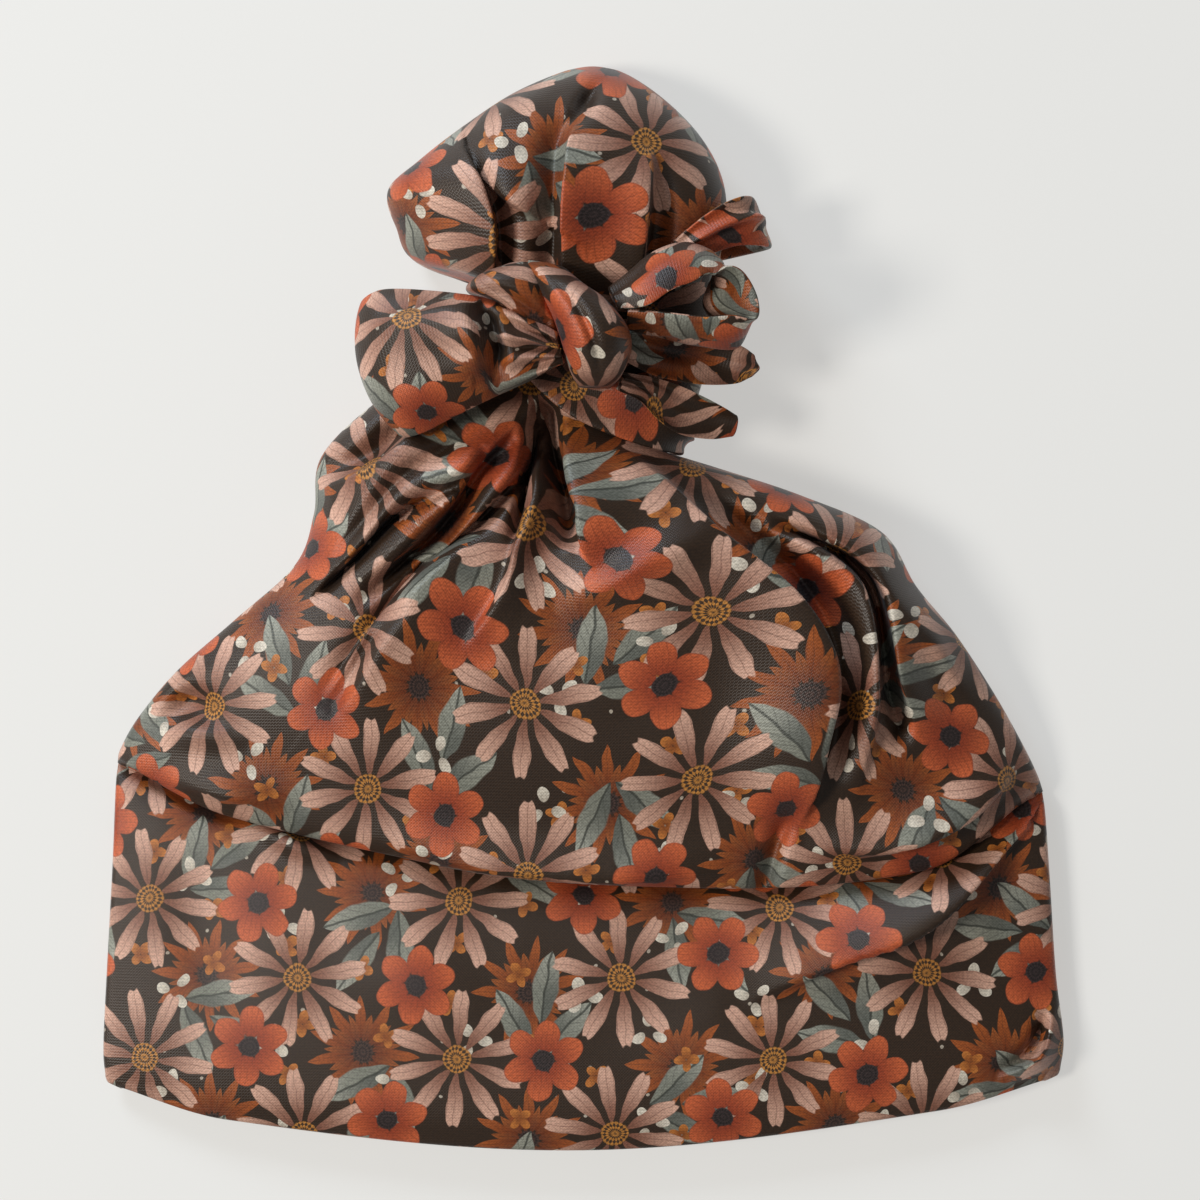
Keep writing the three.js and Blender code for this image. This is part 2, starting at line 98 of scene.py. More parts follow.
# Band, from the hem at the mouth to the seam
BAND_SECTIONS = [
    [-133.6, 132.4, -131, -141, -149.6, -138.5, -129, 10.5, 4.5, 0, 0],
    [-134.0, 133.2, -122, -132, -141, -130, -120, 13.0, 5.5, 0, 0],
    [-132.8, 131.0, -98, -110, -122, -112, -102, 14.5, 6, 0, 0],
    [-131.4, 129.4, -72, -84, -99, -94, -77, 15.0, 6, 0, 0],
    [-130.6, 128.2, -50.5, -63.5, -80.5, -77.5, -58.5, 13.5, 5.5, 0, 0],
    [-130.2, 127.6, -44, -55.5, -72, -69.5, -52, 4.5, 3.5, 0, 0],
]

# Crown, from the seam to the neck; lean pushes the upper layer over the seam
CROWN_SECTIONS = [
    [-130.2, 127.6, -44, -55.5, -72, -69.5, -52, 7.5, 4.5, 0, 0],
    [-129.0, 125.6, -40, -53.5, -69.5, -68, -47, 17.5, 7, 0, 6],
    [-123.6, 121.0, -31, -42, -58, -54, -38, 24, 9, 0, 2],
    [-112.6, 113.0, -18, -26, -38, -34, -24, 31, 10, 0, 0],
    [-96.6, 102.4, -4, -9, -17, -14, -8, 35, 11, 0, 0],
    [-80.0, 91.6, 11, 9, 3, 3, 5, 36, 12, 0, 0],
    [-74.8, 82.0, 25, 25, 22, 20, 20, 35, 12, 0, 0],
    [-72.6, 60.0, 41, 41, 38, 32, 30, 33, 12, 0, 0],
    [-56.0, 37.0, 57, 56, 47.5, 40, 37.5, 29, 13, 0, 0],
    [-29.0, 21.5, 74.5, 70, 56, 45, 42.2, 24.5, 13, 3.2, 0],
    [-22.1, 23.0, 80, 75.6, 62.2, 49, 45, 24.5, 14, 3.2, 0],
]

# Pouch, from the throat to the closed top
POUCH_SECTIONS = [
    [-21.3, 23.8, 81.1, 76.7, 63.3, 50.1, 46.1, 24.5, 14, 3.2, 0],
    [-17.6, 29.0, 88, 83.4, 69.6, 56.2, 52, 24.5, 14, 3.2, 0],
    [-45.5, 35.0, 94.5, 92, 82, 76, 72, 30, 14, 0, 0],
    [-52.0, 37.0, 104.5, 103, 98, 95, 93, 36, 16, 0, 0],
    [-54.0, 39.0, 114, 114, 112, 110, 109, 39, 17, 0, 0],
    [-46.0, 37.0, 122, 123, 125, 122, 120, 37, 15, 0, 0],
    [-35.0, 31.0, 131, 132.5, 136, 132.5, 130.5, 31, 13, 0, 0],
    [-21.0, 22.0, 141, 142, 144.6, 142, 140, 22, 10, 0, 0],
    [-8.0, 12.0, 147.6, 148.3, 149.2, 148.3, 147.5, 11, 6, 0, 0],
    [0.0, 4.0, 149.6, 149.8, 150, 149.8, 149.6, 6, 5, 4, 0],
]

# Knot, from its upper end to its lower one
KNOT_SECTIONS = [
    [-15, -4, 92.5, 92.2, 91.5, 90.4, 89.5, 45, 41, 38, 0],
    [-15, 0, 90, 89.5, 88, 86.5, 86, 51, 43, 36, 0],
    [-12, 6, 84, 83.8, 83, 82, 81.5, 56, 44, 34.5, 0],
    [-8, 11.5, 76, 75.8, 75.3, 74.7, 74.5, 59, 45, 31, 0],
    [-5.6, 12.6, 68.5, 68.5, 68.5, 68.5, 68.5, 58, 44, 28.8, 0],
    [-3.6, 10, 62.5, 62.4, 62.2, 62, 62, 52, 41, 28.8, 0],
    [-1.5, 7, 59, 59, 58.9, 58.8, 58.7, 44, 38, 32, 0],
]

# Shoulder of the tie that rises into the knot, from its lower end to its upper one
SHOULDER_SECTIONS = [
    [-15, -6.2, 75, 74.6, 73.6, 73, 72.6, 45, 41, 37, 0],
    [-24, -7.4, 81.5, 80.6, 79, 77.8, 77.4, 50, 41, 33, 0],
    [-31.5, -9, 84.4, 84.4, 84.5, 84.6, 84.6, 52, 40, 31, 0],
    [-29, -11.4, 88, 88.4, 89, 89.6, 89.6, 50, 40, 33, 0],
    [-22, -14.2, 91, 91.4, 92, 92, 92, 43, 40, 37, 0],
]

# Folds: the path of a ridge (rise up) or valley (rise down), the rise at each of its points, how far its
# crest is tucked over to the right of someone walking along the path, and its reach to the left and right
BAND_FOLDS = [
    ("diagonal crease", [[44, -109], [70, -96], [93, -85], [121, -60]], [0, 5.5, 8.5, 3], 4, 15, 1.9),
    ("corner curl", [[131, -108], [130.5, -118], [129, -124.5], [124.5, -128.5], [114, -131]],
     [0, 5, 7, 6, 0], 3, 3.5, 1.8),
    ("corner hollow", [[128, -112], [126.5, -118.5], [125, -122.5], [121, -126], [113, -128.5]],
     [0, -5, -7, -5, 0], 0, 1.8, 2.4),
    ("seam roll", [[-99, -57], [-88, -61], [-78, -66], [-68, -70]], [0, 4, 4, 0], 0, 3, 4),
    ("left sag", [[-118, -62], [-106, -88], [-100, -120]], [0, -1.8, 0], 0, 12, 12),
    ("right bulge", [[70, -88], [98, -80], [116, -66]], [0, 2.5, 0], 0, 8, 6),
    ("middle sag", [[-20, -98], [8, -112], [36, -112]], [0, -1.5, 0], 0, 12, 12),
    ("middle swell", [[-70, -96], [-44, -104], [-20, -118]], [0, 1.5, 0], 0, 11, 11),
]
CROWN_FOLDS = [
    ("shoulder ridge", [[-71.4, 31], [-57, 35.6], [-46.5, 43.7], [-42.6, 48]],
     [1.5, 6, 6, 1], -1.5, 2.2, 13),
    ("shoulder valley", [[-70, 36.5], [-59, 41], [-50, 48], [-45, 53]], [-2, -6, -8, -6], 0, 4, 2.6),
    ("strap line", [[-24, 52], [-36, 43], [-50, 33], [-62, 22], [-70, 12]],
     [0, -2.5, -3.5, -3, 0], 0, 1.7, 1.7),
    ("first lip", [[-26, 44], [-35.6, 36.6], [-49.3, 28.1], [-56.5, 22.9], [-65, 14], [-76, 2]],
     [0, 1.5, 2.5, 4, 4, 0], -2, 1.6, 7),
    ("first valley", [[-28.2, 41.5], [-34.1, 34.9], [-47.8, 26.4], [-55, 21.2], [-63.5, 12.3],
                      [-73.5, 1.2]], [-3, -5, -8, -10, -9, 0], 0, 1.8, 1.8),
    ("strip edge", [[-17.4, 51], [-29.5, 40.2], [-34.8, 33], [-38, 28.7], [-43.9, 21.8], [-50.5, 15.3],
                    [-59, 6.1]], [0, 4, 5, 5, 4, 3, 0], -2.5, 1.7, 5),
    ("second valley", [[-20, 44], [-27, 37.5], [-32.7, 30.6], [-35.9, 26.3], [-41.8, 19.4],
                       [-48.4, 12.9], [-62, -1]], [-2, -7, -11, -14, -15, -12, 0], 0, 2.6, 2.6),
    ("second edge", [[-15.4, 40.8], [-22.3, 33.9], [-30.8, 25.1], [-34.8, 20.2], [-38.7, 15.9],
                     [-44, 11]], [1, 4, 5, 5, 4, 0], -2.5, 1.7, 5),
    ("third valley", [[-12.5, 40], [-20.2, 31.5], [-28.7, 22.7], [-36, 16.5], [-42.6, 9.7], [-48.5, 3],
                      [-58, -8]], [-5, -7, -8, -12, -14, -11, 0], 0, 2.4, 3.4),
    ("lit ridge", [[-30.5, 23], [-34.1, 19.2], [-39.3, 12.7], [-46.5, 4.2], [-51.8, -3], [-57, -10.2],
                   [-70.1, -26.6]], [0, 3, 6, 8, 8, 8, 0], 2.5, 16, 2.2),
    ("under ridge", [[-45, 1], [-54, -9], [-61, -18], [-70, -30]], [0, -5, -6, 0], 0, 2.4, 6),
    ("black pocket", [[-13.5, 48], [-14.8, 33], [-16.1, 25.8], [-18.4, 15]],
     [-8, -15, -12, 0], 0, 2.3, 2.6),
    ("strand", [[-11.5, 44], [-12.9, 33.6], [-14.3, 24.5], [-16, 18], [-18.5, 7.4], [-22.5, -0.4],
                [-31.8, -13]], [2, 6, 7, 7, 6, 4.5, 0], 1.8, 3.6, 1.9),
    ("strand slope", [[-12, 14], [-15, 4], [-20, -6], [-28, -16]], [0, 2.5, 2.5, 0], 0, 9, 4),
    ("deep valley", [[-9.9, 52], [-8, 39.5], [-5.8, 31.6], [-4.6, 23.8], [-4.2, 15]],
     [-12, -17, -19, -17, 0], 0, 3, 3.2),
    ("panel edge", [[-5, 47], [-3, 38.2], [-0.8, 31.6], [1.3, 26.4], [1.4, 20.5], [2, 15.3], [5, 9]],
     [1, 5, 7, 7.5, 7, 5, 0], 4, 12, 1.6),
    ("centre panel", [[9, 45], [12, 20], [15, 4], [14, -30]], [0, 3, 4, 0], 0, 18, 26),
    ("soft brow", [[-8, 1], [6, 6], [20, 12], [36, 18]], [0, 4, 4, 0], 0, 6, 6),
    ("right lip", [[8, 42.8], [18.6, 34], [33, 19], [43.4, 9.6], [53.4, 0.6], [61.4, -10.4],
                   [64.4, -22], [62.2, -35.6], [60.4, -50], [57, -61]],
     [0, 3, 6, 8, 9, 9, 9, 8, 5, 0], -4.5, 2.2, 22),
    ("behind lip", [[31, 33], [39, 24.5], [48, 16.5], [58.5, 7.6], [66.4, -5], [70, -18], [69, -33],
                    [66.4, -48]], [0, -4, -8, -11, -11, -10, -7, 0], 0, 4, 4),
    ("ribbon", [[42, 20.4], [58.6, 16], [71.4, 7.4], [75, 0.4], [76.8, -8.8], [77.6, -19.9],
                [77.4, -31], [73, -54]], [0, 4, 5.5, 6, 6, 6, 5, 0], -1.5, 2, 5),
    ("slit", [[50, 22], [60, 19], [70, 14], [76.4, 8.4], [80.4, 1.8], [82.2, -8.8], [83, -19.9],
              [84.6, -28.2], [87, -39]], [0, -7, -11, -13, -15, -15, -14, -10, 0], 0, 2.5, 2.5),
    ("outer edge", [[50, 26], [64, 20], [74, 15.4], [81, 8.4], [84.6, -0.8], [86.6, -10.7],
                    [88.4, -21.7], [92, -36]], [0, 3, 4.5, 5, 5, 5, 4, 0], 2.5, 9, 1.8),
    ("outer bend", [[77.9, 22], [88, 10.6], [94, -1.4], [97, -12.5], [102, -26]],
     [0, 3, 3.5, 3.5, 0], 0, 5, 7),
    ("outer drop", [[91, -4], [96, -18], [103, -33]], [0, -3, 0], 0, 4, 5),
    ("right hem roll", [[60, -66], [84, -64], [104, -55], [120, -43]], [0, 5, 6, 0], 4, 7, 3),
    ("hem notch", [[58, -52], [53, -64], [50, -76]], [0, -4, -4], 0, 2.5, 3.5),
    ("left pocket", [[-120, -30], [-110, -27], [-97, -29]], [0, -6, 0], 0, 5, 5),
    ("left pocket lip", [[-118, -37], [-106, -35], [-92, -38]], [0, 3, 0], 0, 3, 6),
    ("left hem roll", [[-118, -46], [-98, -50], [-80, -56]], [0, 4, 0], 2.5, 6, 3.5),
    ("middle hem roll", [[-62, -62], [-30, -70], [8, -73], [40, -72]], [0, 3, 3.5, 0], 2.5, 7, 3),
]
POUCH_FOLDS = [
    ("panel left edge", [[1, 135], [-2.6, 125], [-3, 114.5], [-3.4, 102.4], [-4, 88]],
     [0, 4, 7, 8, 6], 2.5, 11, 1.5),
    ("left recess", [[-4, 134], [-7.6, 124], [-8, 113], [-8.4, 101], [-9, 88]],
     [0, -4, -6, -7, -6], 0, 2, 4.5),
    ("top valley", [[4, 143], [0.5, 137], [-1.5, 131]], [-1, -4, -2], 0, 3, 2.5),
    ("panel right edge", [[17.4, 124], [17, 116.9], [16, 108], [15, 98.4], [14, 88]],
     [0, 3, 5, 6, 5], -1.5, 1.5, 11),
    ("right recess", [[20.4, 122], [19.6, 108], [18.4, 98], [17.4, 88]], [0, -4, -5, -4], 0, 5, 1.8),
    ("lobe edge", [[-35, 128], [-30.4, 117], [-26.6, 104.5], [-26, 94], [-27, 88]],
     [0, 4, 6, 6, 3], -2, 1.5, 12),
    ("strip hollow", [[-31, 124], [-27, 115], [-23.4, 104.5], [-22.6, 94]],
     [-2, -4, -5, -4], 0, 4, 1.6),
    ("upper sheet", [[-34, 129], [-28, 118.4], [-21.6, 112], [-16, 108], [-11, 104.6]],
     [0, 3.5, 5, 5, 2], 2, 13, 1.5),
    ("top left swell", [[-30, 132], [-20, 136], [-8, 139]], [0, 2, 0], 0, 5, 7),
]
KNOT_FOLDS = [
    ("wrap line", [[-10, 88], [-2, 79], [3, 68], [4, 60]], [0, -1.5, -1.5, 0], 0, 1.4, 1.4),
]
SHOULDER_FOLDS = [
    ("roll line", [[-28, 85], [-19, 82], [-10, 76]], [0, -2.2, -1.5], 0, 1.5, 1.5),
]

# Straps of cloth, a row for each station along them: x, y and z of edge a, the same of edge b, how far the
# cloth puffs out between them, and how far its middle runs ahead of its edges
LEFT_LOOP = [
    [-7, 73, 46, -5, 65.5, 43, 1.5, 0],
    [-17, 78.5, 45, -14, 60.5, 42, 3, 0],
    [-27, 82.5, 43.5, -24, 56, 41, 7, 0],
    [-42, 84.6, 41, -34.5, 51, 39, 8.5, 1],
    [-54, 85, 39, -43, 46.8, 37, 7, 3.5],
    [-59.5, 82.5, 36, -48, 45.6, 34.4, 2.5, 5.5],
    [-56, 82, 33.5, -45.5, 48, 31.8, 0, 5],
    [-45, 81, 32.2, -38, 50.5, 30.8, 0, 1],
    [-29, 78, 34, -27, 55.5, 32, 0, 0],
    [-17, 73.5, 37, -16, 62, 36, 0, 0],
    [-6.7, 71, 39, -5.7, 66.5, 39, 0, 0],
]
RIGHT_LOOP = [
    [9, 79, 49, 6.9, 83.6, 36, 1.5, 0],
    [16.4, 79.6, 51.5, 14.5, 88.8, 34, 4, 0],
    [22.8, 83.6, 52.5, 21.3, 93.2, 32, 5, 0],
    [28.6, 86, 52, 28.3, 95.4, 31, 4.5, 0],
    [33.4, 89, 50.5, 34.3, 95, 30, 1, 0],
    [39, 91, 51.5, 35, 90, 29, 0, 0],
    [43.4, 86.5, 50.5, 33.6, 86.5, 28, -1, 0],
    [45.9, 81, 50, 32.6, 81.5, 28, -1.5, 0],
    [45.4, 76.4, 49, 36.5, 76.2, 29, 0, 0],
    [39, 77, 50, 40.5, 71.4, 31, 2.5, 0],
    [31.2, 76.6, 50.5, 31.7, 72.2, 32, 2.5, 0],
    [21.3, 77.6, 50.5, 21.7, 74.2, 33, 2, 0],
    [11.5, 78, 50, 11.8, 76.5, 37, 0, 0],
]
UPPER_TAIL = [
    [12.7, 77.2, 36, 10.9, 66, 37, 2.5, 0],
    [22, 76.8, 33.5, 18, 62.6, 34, 4.5, 0],
    [30, 75.4, 31, 26, 60.8, 31.5, 5, 0],
    [37, 73.2, 29, 33.5, 60.1, 29, 5, 0],
    [43, 70.6, 27, 41, 60.6, 26.5, 4, 0.5],
    [45.6, 69, 24, 44.6, 62.4, 24, 1, 1],
]
LOWER_TAIL = [
    [10.3, 63.2, 34.5, 9.5, 58, 34, 1.5, 0],
    [18.5, 62, 31.5, 15, 55.5, 31.5, 3, 0],
    [25.5, 60, 29, 20, 50.5, 29.5, 4, 0],
    [32.4, 57, 27, 26, 46.8, 27.5, 4.5, 0],
    [38, 54.2, 25, 34, 45.6, 25, 4, 0.5],
    [41.2, 52.4, 22, 40, 46.4, 22, 1, 1],
]
SIDE_FOLD = [
    [24, 98.5, 33, 28.5, 93.5, 30, 2, 0],
    [30, 103.5, 35, 34.5, 95.5, 31, 3, 0],
    [36.5, 108, 35, 41, 97.5, 31, 3.5, 0],
    [42, 110.6, 33, 47, 97.8, 29.5, 3, 0],
    [45, 111.2, 28, 50.2, 97.6, 26, 1.5, 0],
    [44.5, 110.5, 21.5, 49.5, 97.5, 20, 0, 0],
    [38, 107, 17.5, 42, 96, 17, 0, 0],
    [31, 103, 16, 35, 94.5, 16, 0, 0],
]

# Turn of the tie round the neck: place along the gathers, height, and the cloth's two edges across them
WRAP_TURN = [
    [32.4, 13, 0, 5.5],
    [25, 25, -5, 6],
    [2, 29, -11.5, 6],
    [-22, 26, -9, 7],
    [-33.4, 13, -7, 6],
    [-28, 2.2, -5, 6],
    [0, 1.4, -5, 6],
    [28, 2.2, -2, 5],
]

# Folds of the straps, in millimetres along the strap from its start and across it from edge a
LEFT_LOOP_FOLDS = [
    ("top crease", [[15, 0.5], [24, 3], [36, 7], [46, 10]], [0, 3.2, 3.2, 0], 0, 9, 1.6),
    ("hollow", [[19.5, 2.5], [17.5, 8], [17, 14], [18.5, 20]], [-3, -6.5, -6.5, -2], 0, 2.4, 1.8),
    ("cheek", [[23.5, 2.5], [21.5, 8], [21, 14], [22.5, 20]], [1, 3.5, 3.5, 1], 0, 1.8, 6),
]
RIGHT_LOOP_FOLDS = [
    ("pinch", [[31, 0], [33, 8], [35, 16]], [-2.5, -2, 0], 0, 2.5, 2.5),
    ("lower crease", [[62, 5], [76, 8], [92, 8]], [0, 1.5, 1], 0, 2, 2),
]
UPPER_TAIL_FOLDS = [
    ("upper crease", [[0, 4], [12, 4], [26, 3]], [-1.5, -1.6, 0], 0, 1.8, 1.8),
    ("end pucker", [[26, 6], [36, 4]], [0, -2.5], 0, 2, 2),
]
LOWER_TAIL_FOLDS = [
    ("long crease", [[0, 2], [14, 5], [28, 4]], [-1, -2, 0], 0, 2, 2),
]
SIDE_FOLD_FOLDS = [
    ("roll", [[0, 3], [10, 4.5], [20, 6], [28, 7]], [-2, -4, -4, -1], 0, 1.7, 1.7),
]

# Gathers where a strap leaves the knot: how many across it, their height, and how far along they run
LEFT_GATHERS = (3.5, 2.3, 16)
RIGHT_GATHERS = (2, 0.8, 14)
TAIL_GATHERS = (2.5, 0.9, 18)
NO_GATHERS = (1, 0, 1)


def smooth_step(value):
    share = np.clip(value, 0, 1)
    return share * share * (3 - 2 * share)


def weights(knots, at):
    """The share of each knot's value in a smooth curve through all of them, a row for each place on it."""
    knots = np.asarray(knots, float)
    at = np.asarray(at, float)
    last = len(knots) - 1
    first = np.clip(np.searchsorted(knots, at, side="right") - 1, 0, last - 1)
    span = knots[first + 1] - knots[first]
    t = np.clip((at - knots[first]) / span, 0, 1)
    rows = np.arange(len(at))
    share = np.zeros((len(at), last + 1))
    np.add.at(share, (rows, first), 2 * t**3 - 3 * t**2 + 1)
    np.add.at(share, (rows, first + 1), 3 * t**2 - 2 * t**3)
    slopes = ((first, (t**3 - 2 * t**2 + t) * span), (first + 1, (t**3 - t**2) * span))
    for knot, slope_share in slopes:
        before = np.maximum(knot - 1, 0)
        after = np.minimum(knot + 1, last)
        per_knot = slope_share / (knots[after] - knots[before])
        np.add.at(share, (rows, after), per_knot)
        np.add.at(share, (rows, before), -per_knot)
    return share


def curve(values, shares):
    """A smooth curve through rows of values, read at shares of its length."""
    return weights(np.linspace(0, 1, len(values)), shares) @ np.asarray(values, float)


def fold_push(fold, x, y):
    """How one fold moves the points x, y: up, and sideways."""
    _, path, rise, tuck, left, right = fold
    points = curve(np.column_stack([path, rise]), np.linspace(0, 1, PATH_STEPS + 1))
    margin = FOLD_REACH * max(left, right)
    low = points.min(axis=0) - margin
    high = points.max(axis=0) + margin
    near = (x > low[0]) & (x < high[0]) & (y > low[1]) & (y < high[1])
    near_x = x[near]
    near_y = y[near]
    total = np.full(near_x.shape, TINY)
    sums = np.zeros((3, len(near_x)))
    for start, end in zip(points, points[1:]):
        step = (end - start)[:2]
        length = math.hypot(*step)
        t = np.clip(((near_x - start[0]) * step[0] + (near_y - start[1]) * step[1]) / length**2, 0, 1)
        away_x = near_x - start[0] - t * step[0]
        away_y = near_y - start[1] - t * step[1]
        distance = np.hypot(away_x, away_y)
        reach = np.where(step[0] * away_y - step[1] * away_x > 0, left, right)
        here = (start[2] + t * (end[2] - start[2])) * np.exp(-((distance / reach) ** 2))
        closeness = (distance + FOLD_SOFTNESS) ** -FOLD_BLEND
        total += closeness
        sums += closeness * np.stack([here, here * step[1] / length, -here * step[0] / length])
    push = np.zeros((3, *x.shape))
    push[:, near] = sums / total
    tucked = tuck / max(abs(value) for value in rise) * np.sign(sum(rise))
    return push[0], tucked * push[1], tucked * push[2]


def pushed(points, folds, fade):
    """Points of an upper layer with its folds raised, sunk and tucked over."""
    x = points[..., 0].copy()
    y = points[..., 1].copy()
    for fold in folds:
        height, side_x, side_y = fold_push(fold, x, y)
        points[..., 0] += fade * side_x
        points[..., 1] += fade * side_y
        points[..., 2] += fade * height
    return points


def bag_rows(sections, along):
    """The named columns of a bag's sections, read at shares of its length."""
    return dict(zip(SECTION_COLUMNS, curve(sections, along).T[:, :, None]))


def bag_xy(rows, across):
    x = (rows["x_left"] + rows["x_right"]) / 2 + (rows["x_right"] - rows["x_left"]) / 2 * across
    given = np.concatenate([rows[name] for name in SECTION_COLUMNS[2:7]], axis=1)
    y = given @ weights(ACROSS_KNOTS, across).T
    return x, y


def bag_upper(bag, along, folds):
    """Upper layer of a bag: points by share of its length and place across it."""
    even = np.linspace(-1, 1, bag["top_steps"] + 1)
    across = (1 - EDGE_CROWDING) * even + EDGE_CROWDING * np.sin(even * math.pi / 2)
    rows = bag_rows(bag["sections"], along)
    x, y = bag_xy(rows, across)
    swell = (1 - np.abs(across) ** SWELL_POWER) ** (1 / SWELL_POWER)
    z = rows["side"] + (rows["top"] - rows["side"]) * swell
    points = np.stack([x, y - rows["lean"] * swell, z], axis=2)
    fade = smooth_step(along / EDGE_FADE)[:, None] * smooth_step((1 - np.abs(across)) / bag["side_fade"])
    return pushed(points, folds, fade)


def bag_under(bag, along, across):
    """Under layer of a bag, flat on the table apart from its rising edges."""
    rows = bag_rows(bag["sections"], along)
    x, y = bag_xy(rows, across)
    bend = np.clip((np.abs(across) - FLAT_SHARE) / (1 - FLAT_SHARE), 0, 1)
    floor = np.maximum(rows["base"], 0)
    z = floor + (rows["side"] - floor) * (1 - np.sqrt(1 - bend**2))
    return np.stack([x, y, z], axis=2)


def bag_rings(bag, along, folds):
    """Closed rings round a bag, each from its middle underneath over the left edge, the top and back."""
    left = bag_under(bag, along, -UNDER_STOPS)
    upper = bag_upper(bag, along, folds)
    right = bag_under(bag, along, UNDER_STOPS[:0:-1])
    return np.concatenate([left, upper, right], axis=1)


def lowest_near(height, reach_rows, reach_columns):
    """The lowest height within a reach of each point of a grid."""
    low = height.copy()
    for shift in range(1, reach_rows + 1):
        low[shift:] = np.minimum(low[shift:], height[:-shift])
        low[:-shift] = np.minimum(low[:-shift], height[shift:])
    rows = low.copy()
    for shift in range(1, reach_columns + 1):
        low = np.minimum(low, np.minimum(np.roll(rows, shift, axis=1), np.roll(rows, -shift, axis=1)))
    return low


def lining(bag, rings, along, picked):
    """The inner face of a bag's wall: fewer rings, kept inside the outer face."""
    plain = bag_rings(bag, along[picked], [])
    ceiling = lowest_near(rings[..., 2], bag["stride"], bag["lining_reach"])[picked]
    middle = plain.mean(axis=1, keepdims=True)
    half = np.ptp(plain[..., 0], axis=1)[:, None] / 2
    inside = plain.copy()
    inside[..., 0] = middle[..., 0] + (plain[..., 0] - middle[..., 0]) * (1 - WALL / half)
    floor = plain[..., 2].min(axis=1)[:, None] + WALL
    inside[..., 2] = plain[..., 2] + WALL
    top = top_columns(bag)
    inside[:, top, 2] = np.maximum(ceiling[:, top] - WALL, floor)
    return inside


def rim(outer, inner, outward):
    """Rings that round off a wall's cut edge between its outer and inner face."""
    middle = (outer + inner) / 2
    half = (outer - inner) / 2
    bulge = np.linalg.norm(half, axis=1, keepdims=True) * np.asarray(outward)
    turns = [math.pi * turn for turn in RIM_TURNS]
    return np.stack([middle + half * math.cos(turn) + bulge * math.sin(turn) for turn in turns])


def top_columns(bag):
    """The columns of a bag's rings that lie on its upper layer."""
    return slice(len(UNDER_STOPS), len(UNDER_STOPS) + bag["top_steps"] + 1)


def open_bag(bag):
    """Wall of a bag that is open at both ends: rings that lead round to the first again, and their print."""
    along = np.linspace(0, 1, bag["rows"] + 1)
    picked = np.arange(0, bag["rows"] + 1, bag["stride"])
    outer = bag_rings(bag, along, bag["folds"])
    inner = lining(bag, outer, along, picked)
    far = rim(outer[-1], inner[-1], bag["far_way"])
    near = rim(inner[0], outer[0], bag["near_way"])
    flat = bag_print(bag, outer, along)
    edge = np.array(RIM_TURNS)[:, None, None] * np.array([0, 2 * WALL])
    flat = np.concatenate([flat, flat[-1] + edge, flat[picked][::-1], flat[0] - edge[::-1], flat[:1]])
    return np.concatenate([outer, far, inner[::-1], near]), flat


def closed_bag(bag):
    """Wall of a bag that is closed at its far end: rings from its inside round the open edge to its top."""
    along = np.linspace(0, 1, bag["rows"] + 1)
    picked = np.arange(0, bag["rows"], bag["stride"])
    outer = bag_rings(bag, along, bag["folds"])
    inner = lining(bag, outer, along, picked)
    near = rim(inner[0], outer[0], bag["near_way"])
    flat = bag_print(bag, outer, along)
    edge = np.array(RIM_TURNS)[:, None, None] * np.array([0, 2 * WALL])
    flat = np.concatenate([flat[picked][::-1], flat[0] - edge[::-1], flat])
    return np.concatenate([inner[::-1], near, outer]), flat


def lump(bag):
    """A packed lump of cloth, and its print."""
    along = np.linspace(0, 1, bag["rows"] + 1)
    rings = bag_rings(bag, along, bag["folds"])
    return rings, bag_print(bag, rings, along)


def sheet_triangles(points):
    """Both triangles of each square of a sheet: corners, their shares in the slopes of a map, and area."""
    first, last = slice(None, -1), slice(1, None)
    triangles = []
    near_half = ((first, first), (first, last), (last, first))
    far_half = ((last, last), (last, first), (first, last))
    for corners in (near_half, far_half):
        start, over, down = (points[corner] for corner in corners)
        over = over - start
        down = down - start
        length = np.maximum(np.linalg.norm(over, axis=2), THINNEST)
        lean = (over * down).sum(axis=2) / length
        height = np.sqrt(np.maximum((down**2).sum(axis=2) - lean**2, THINNEST**2))
        slope_x = (-1 / length, 1 / length, np.zeros_like(length))
        slope_y = ((lean / length - 1) / height, -lean / (length * height), 1 / height)
        triangles.append((corners, slope_x, slope_y, length * height / 2))
    return triangles


def slopes(flat, triangle):
    """Slopes of a map along and across each triangle, as complex numbers."""
    corners, slope_x, slope_y, _ = triangle
    return [sum(share * flat[corner] for share, corner in zip(shares, corners))
            for shares in (slope_x, slope_y)]


def strain(flat, triangles, turns):
    """How hard a map's triangles pull at its points, to be true to size and turned as given."""
    total = np.zeros_like(flat)
    for triangle, turn in zip(triangles, turns):
        along, across = slopes(flat, triangle)
        along = (along - turn) * triangle[3]
        across = (across - 1j * turn) * triangle[3]
        for corner, share_x, share_y in zip(*triangle[:3]):
            total[corner] += share_x * along + share_y * across
    return total


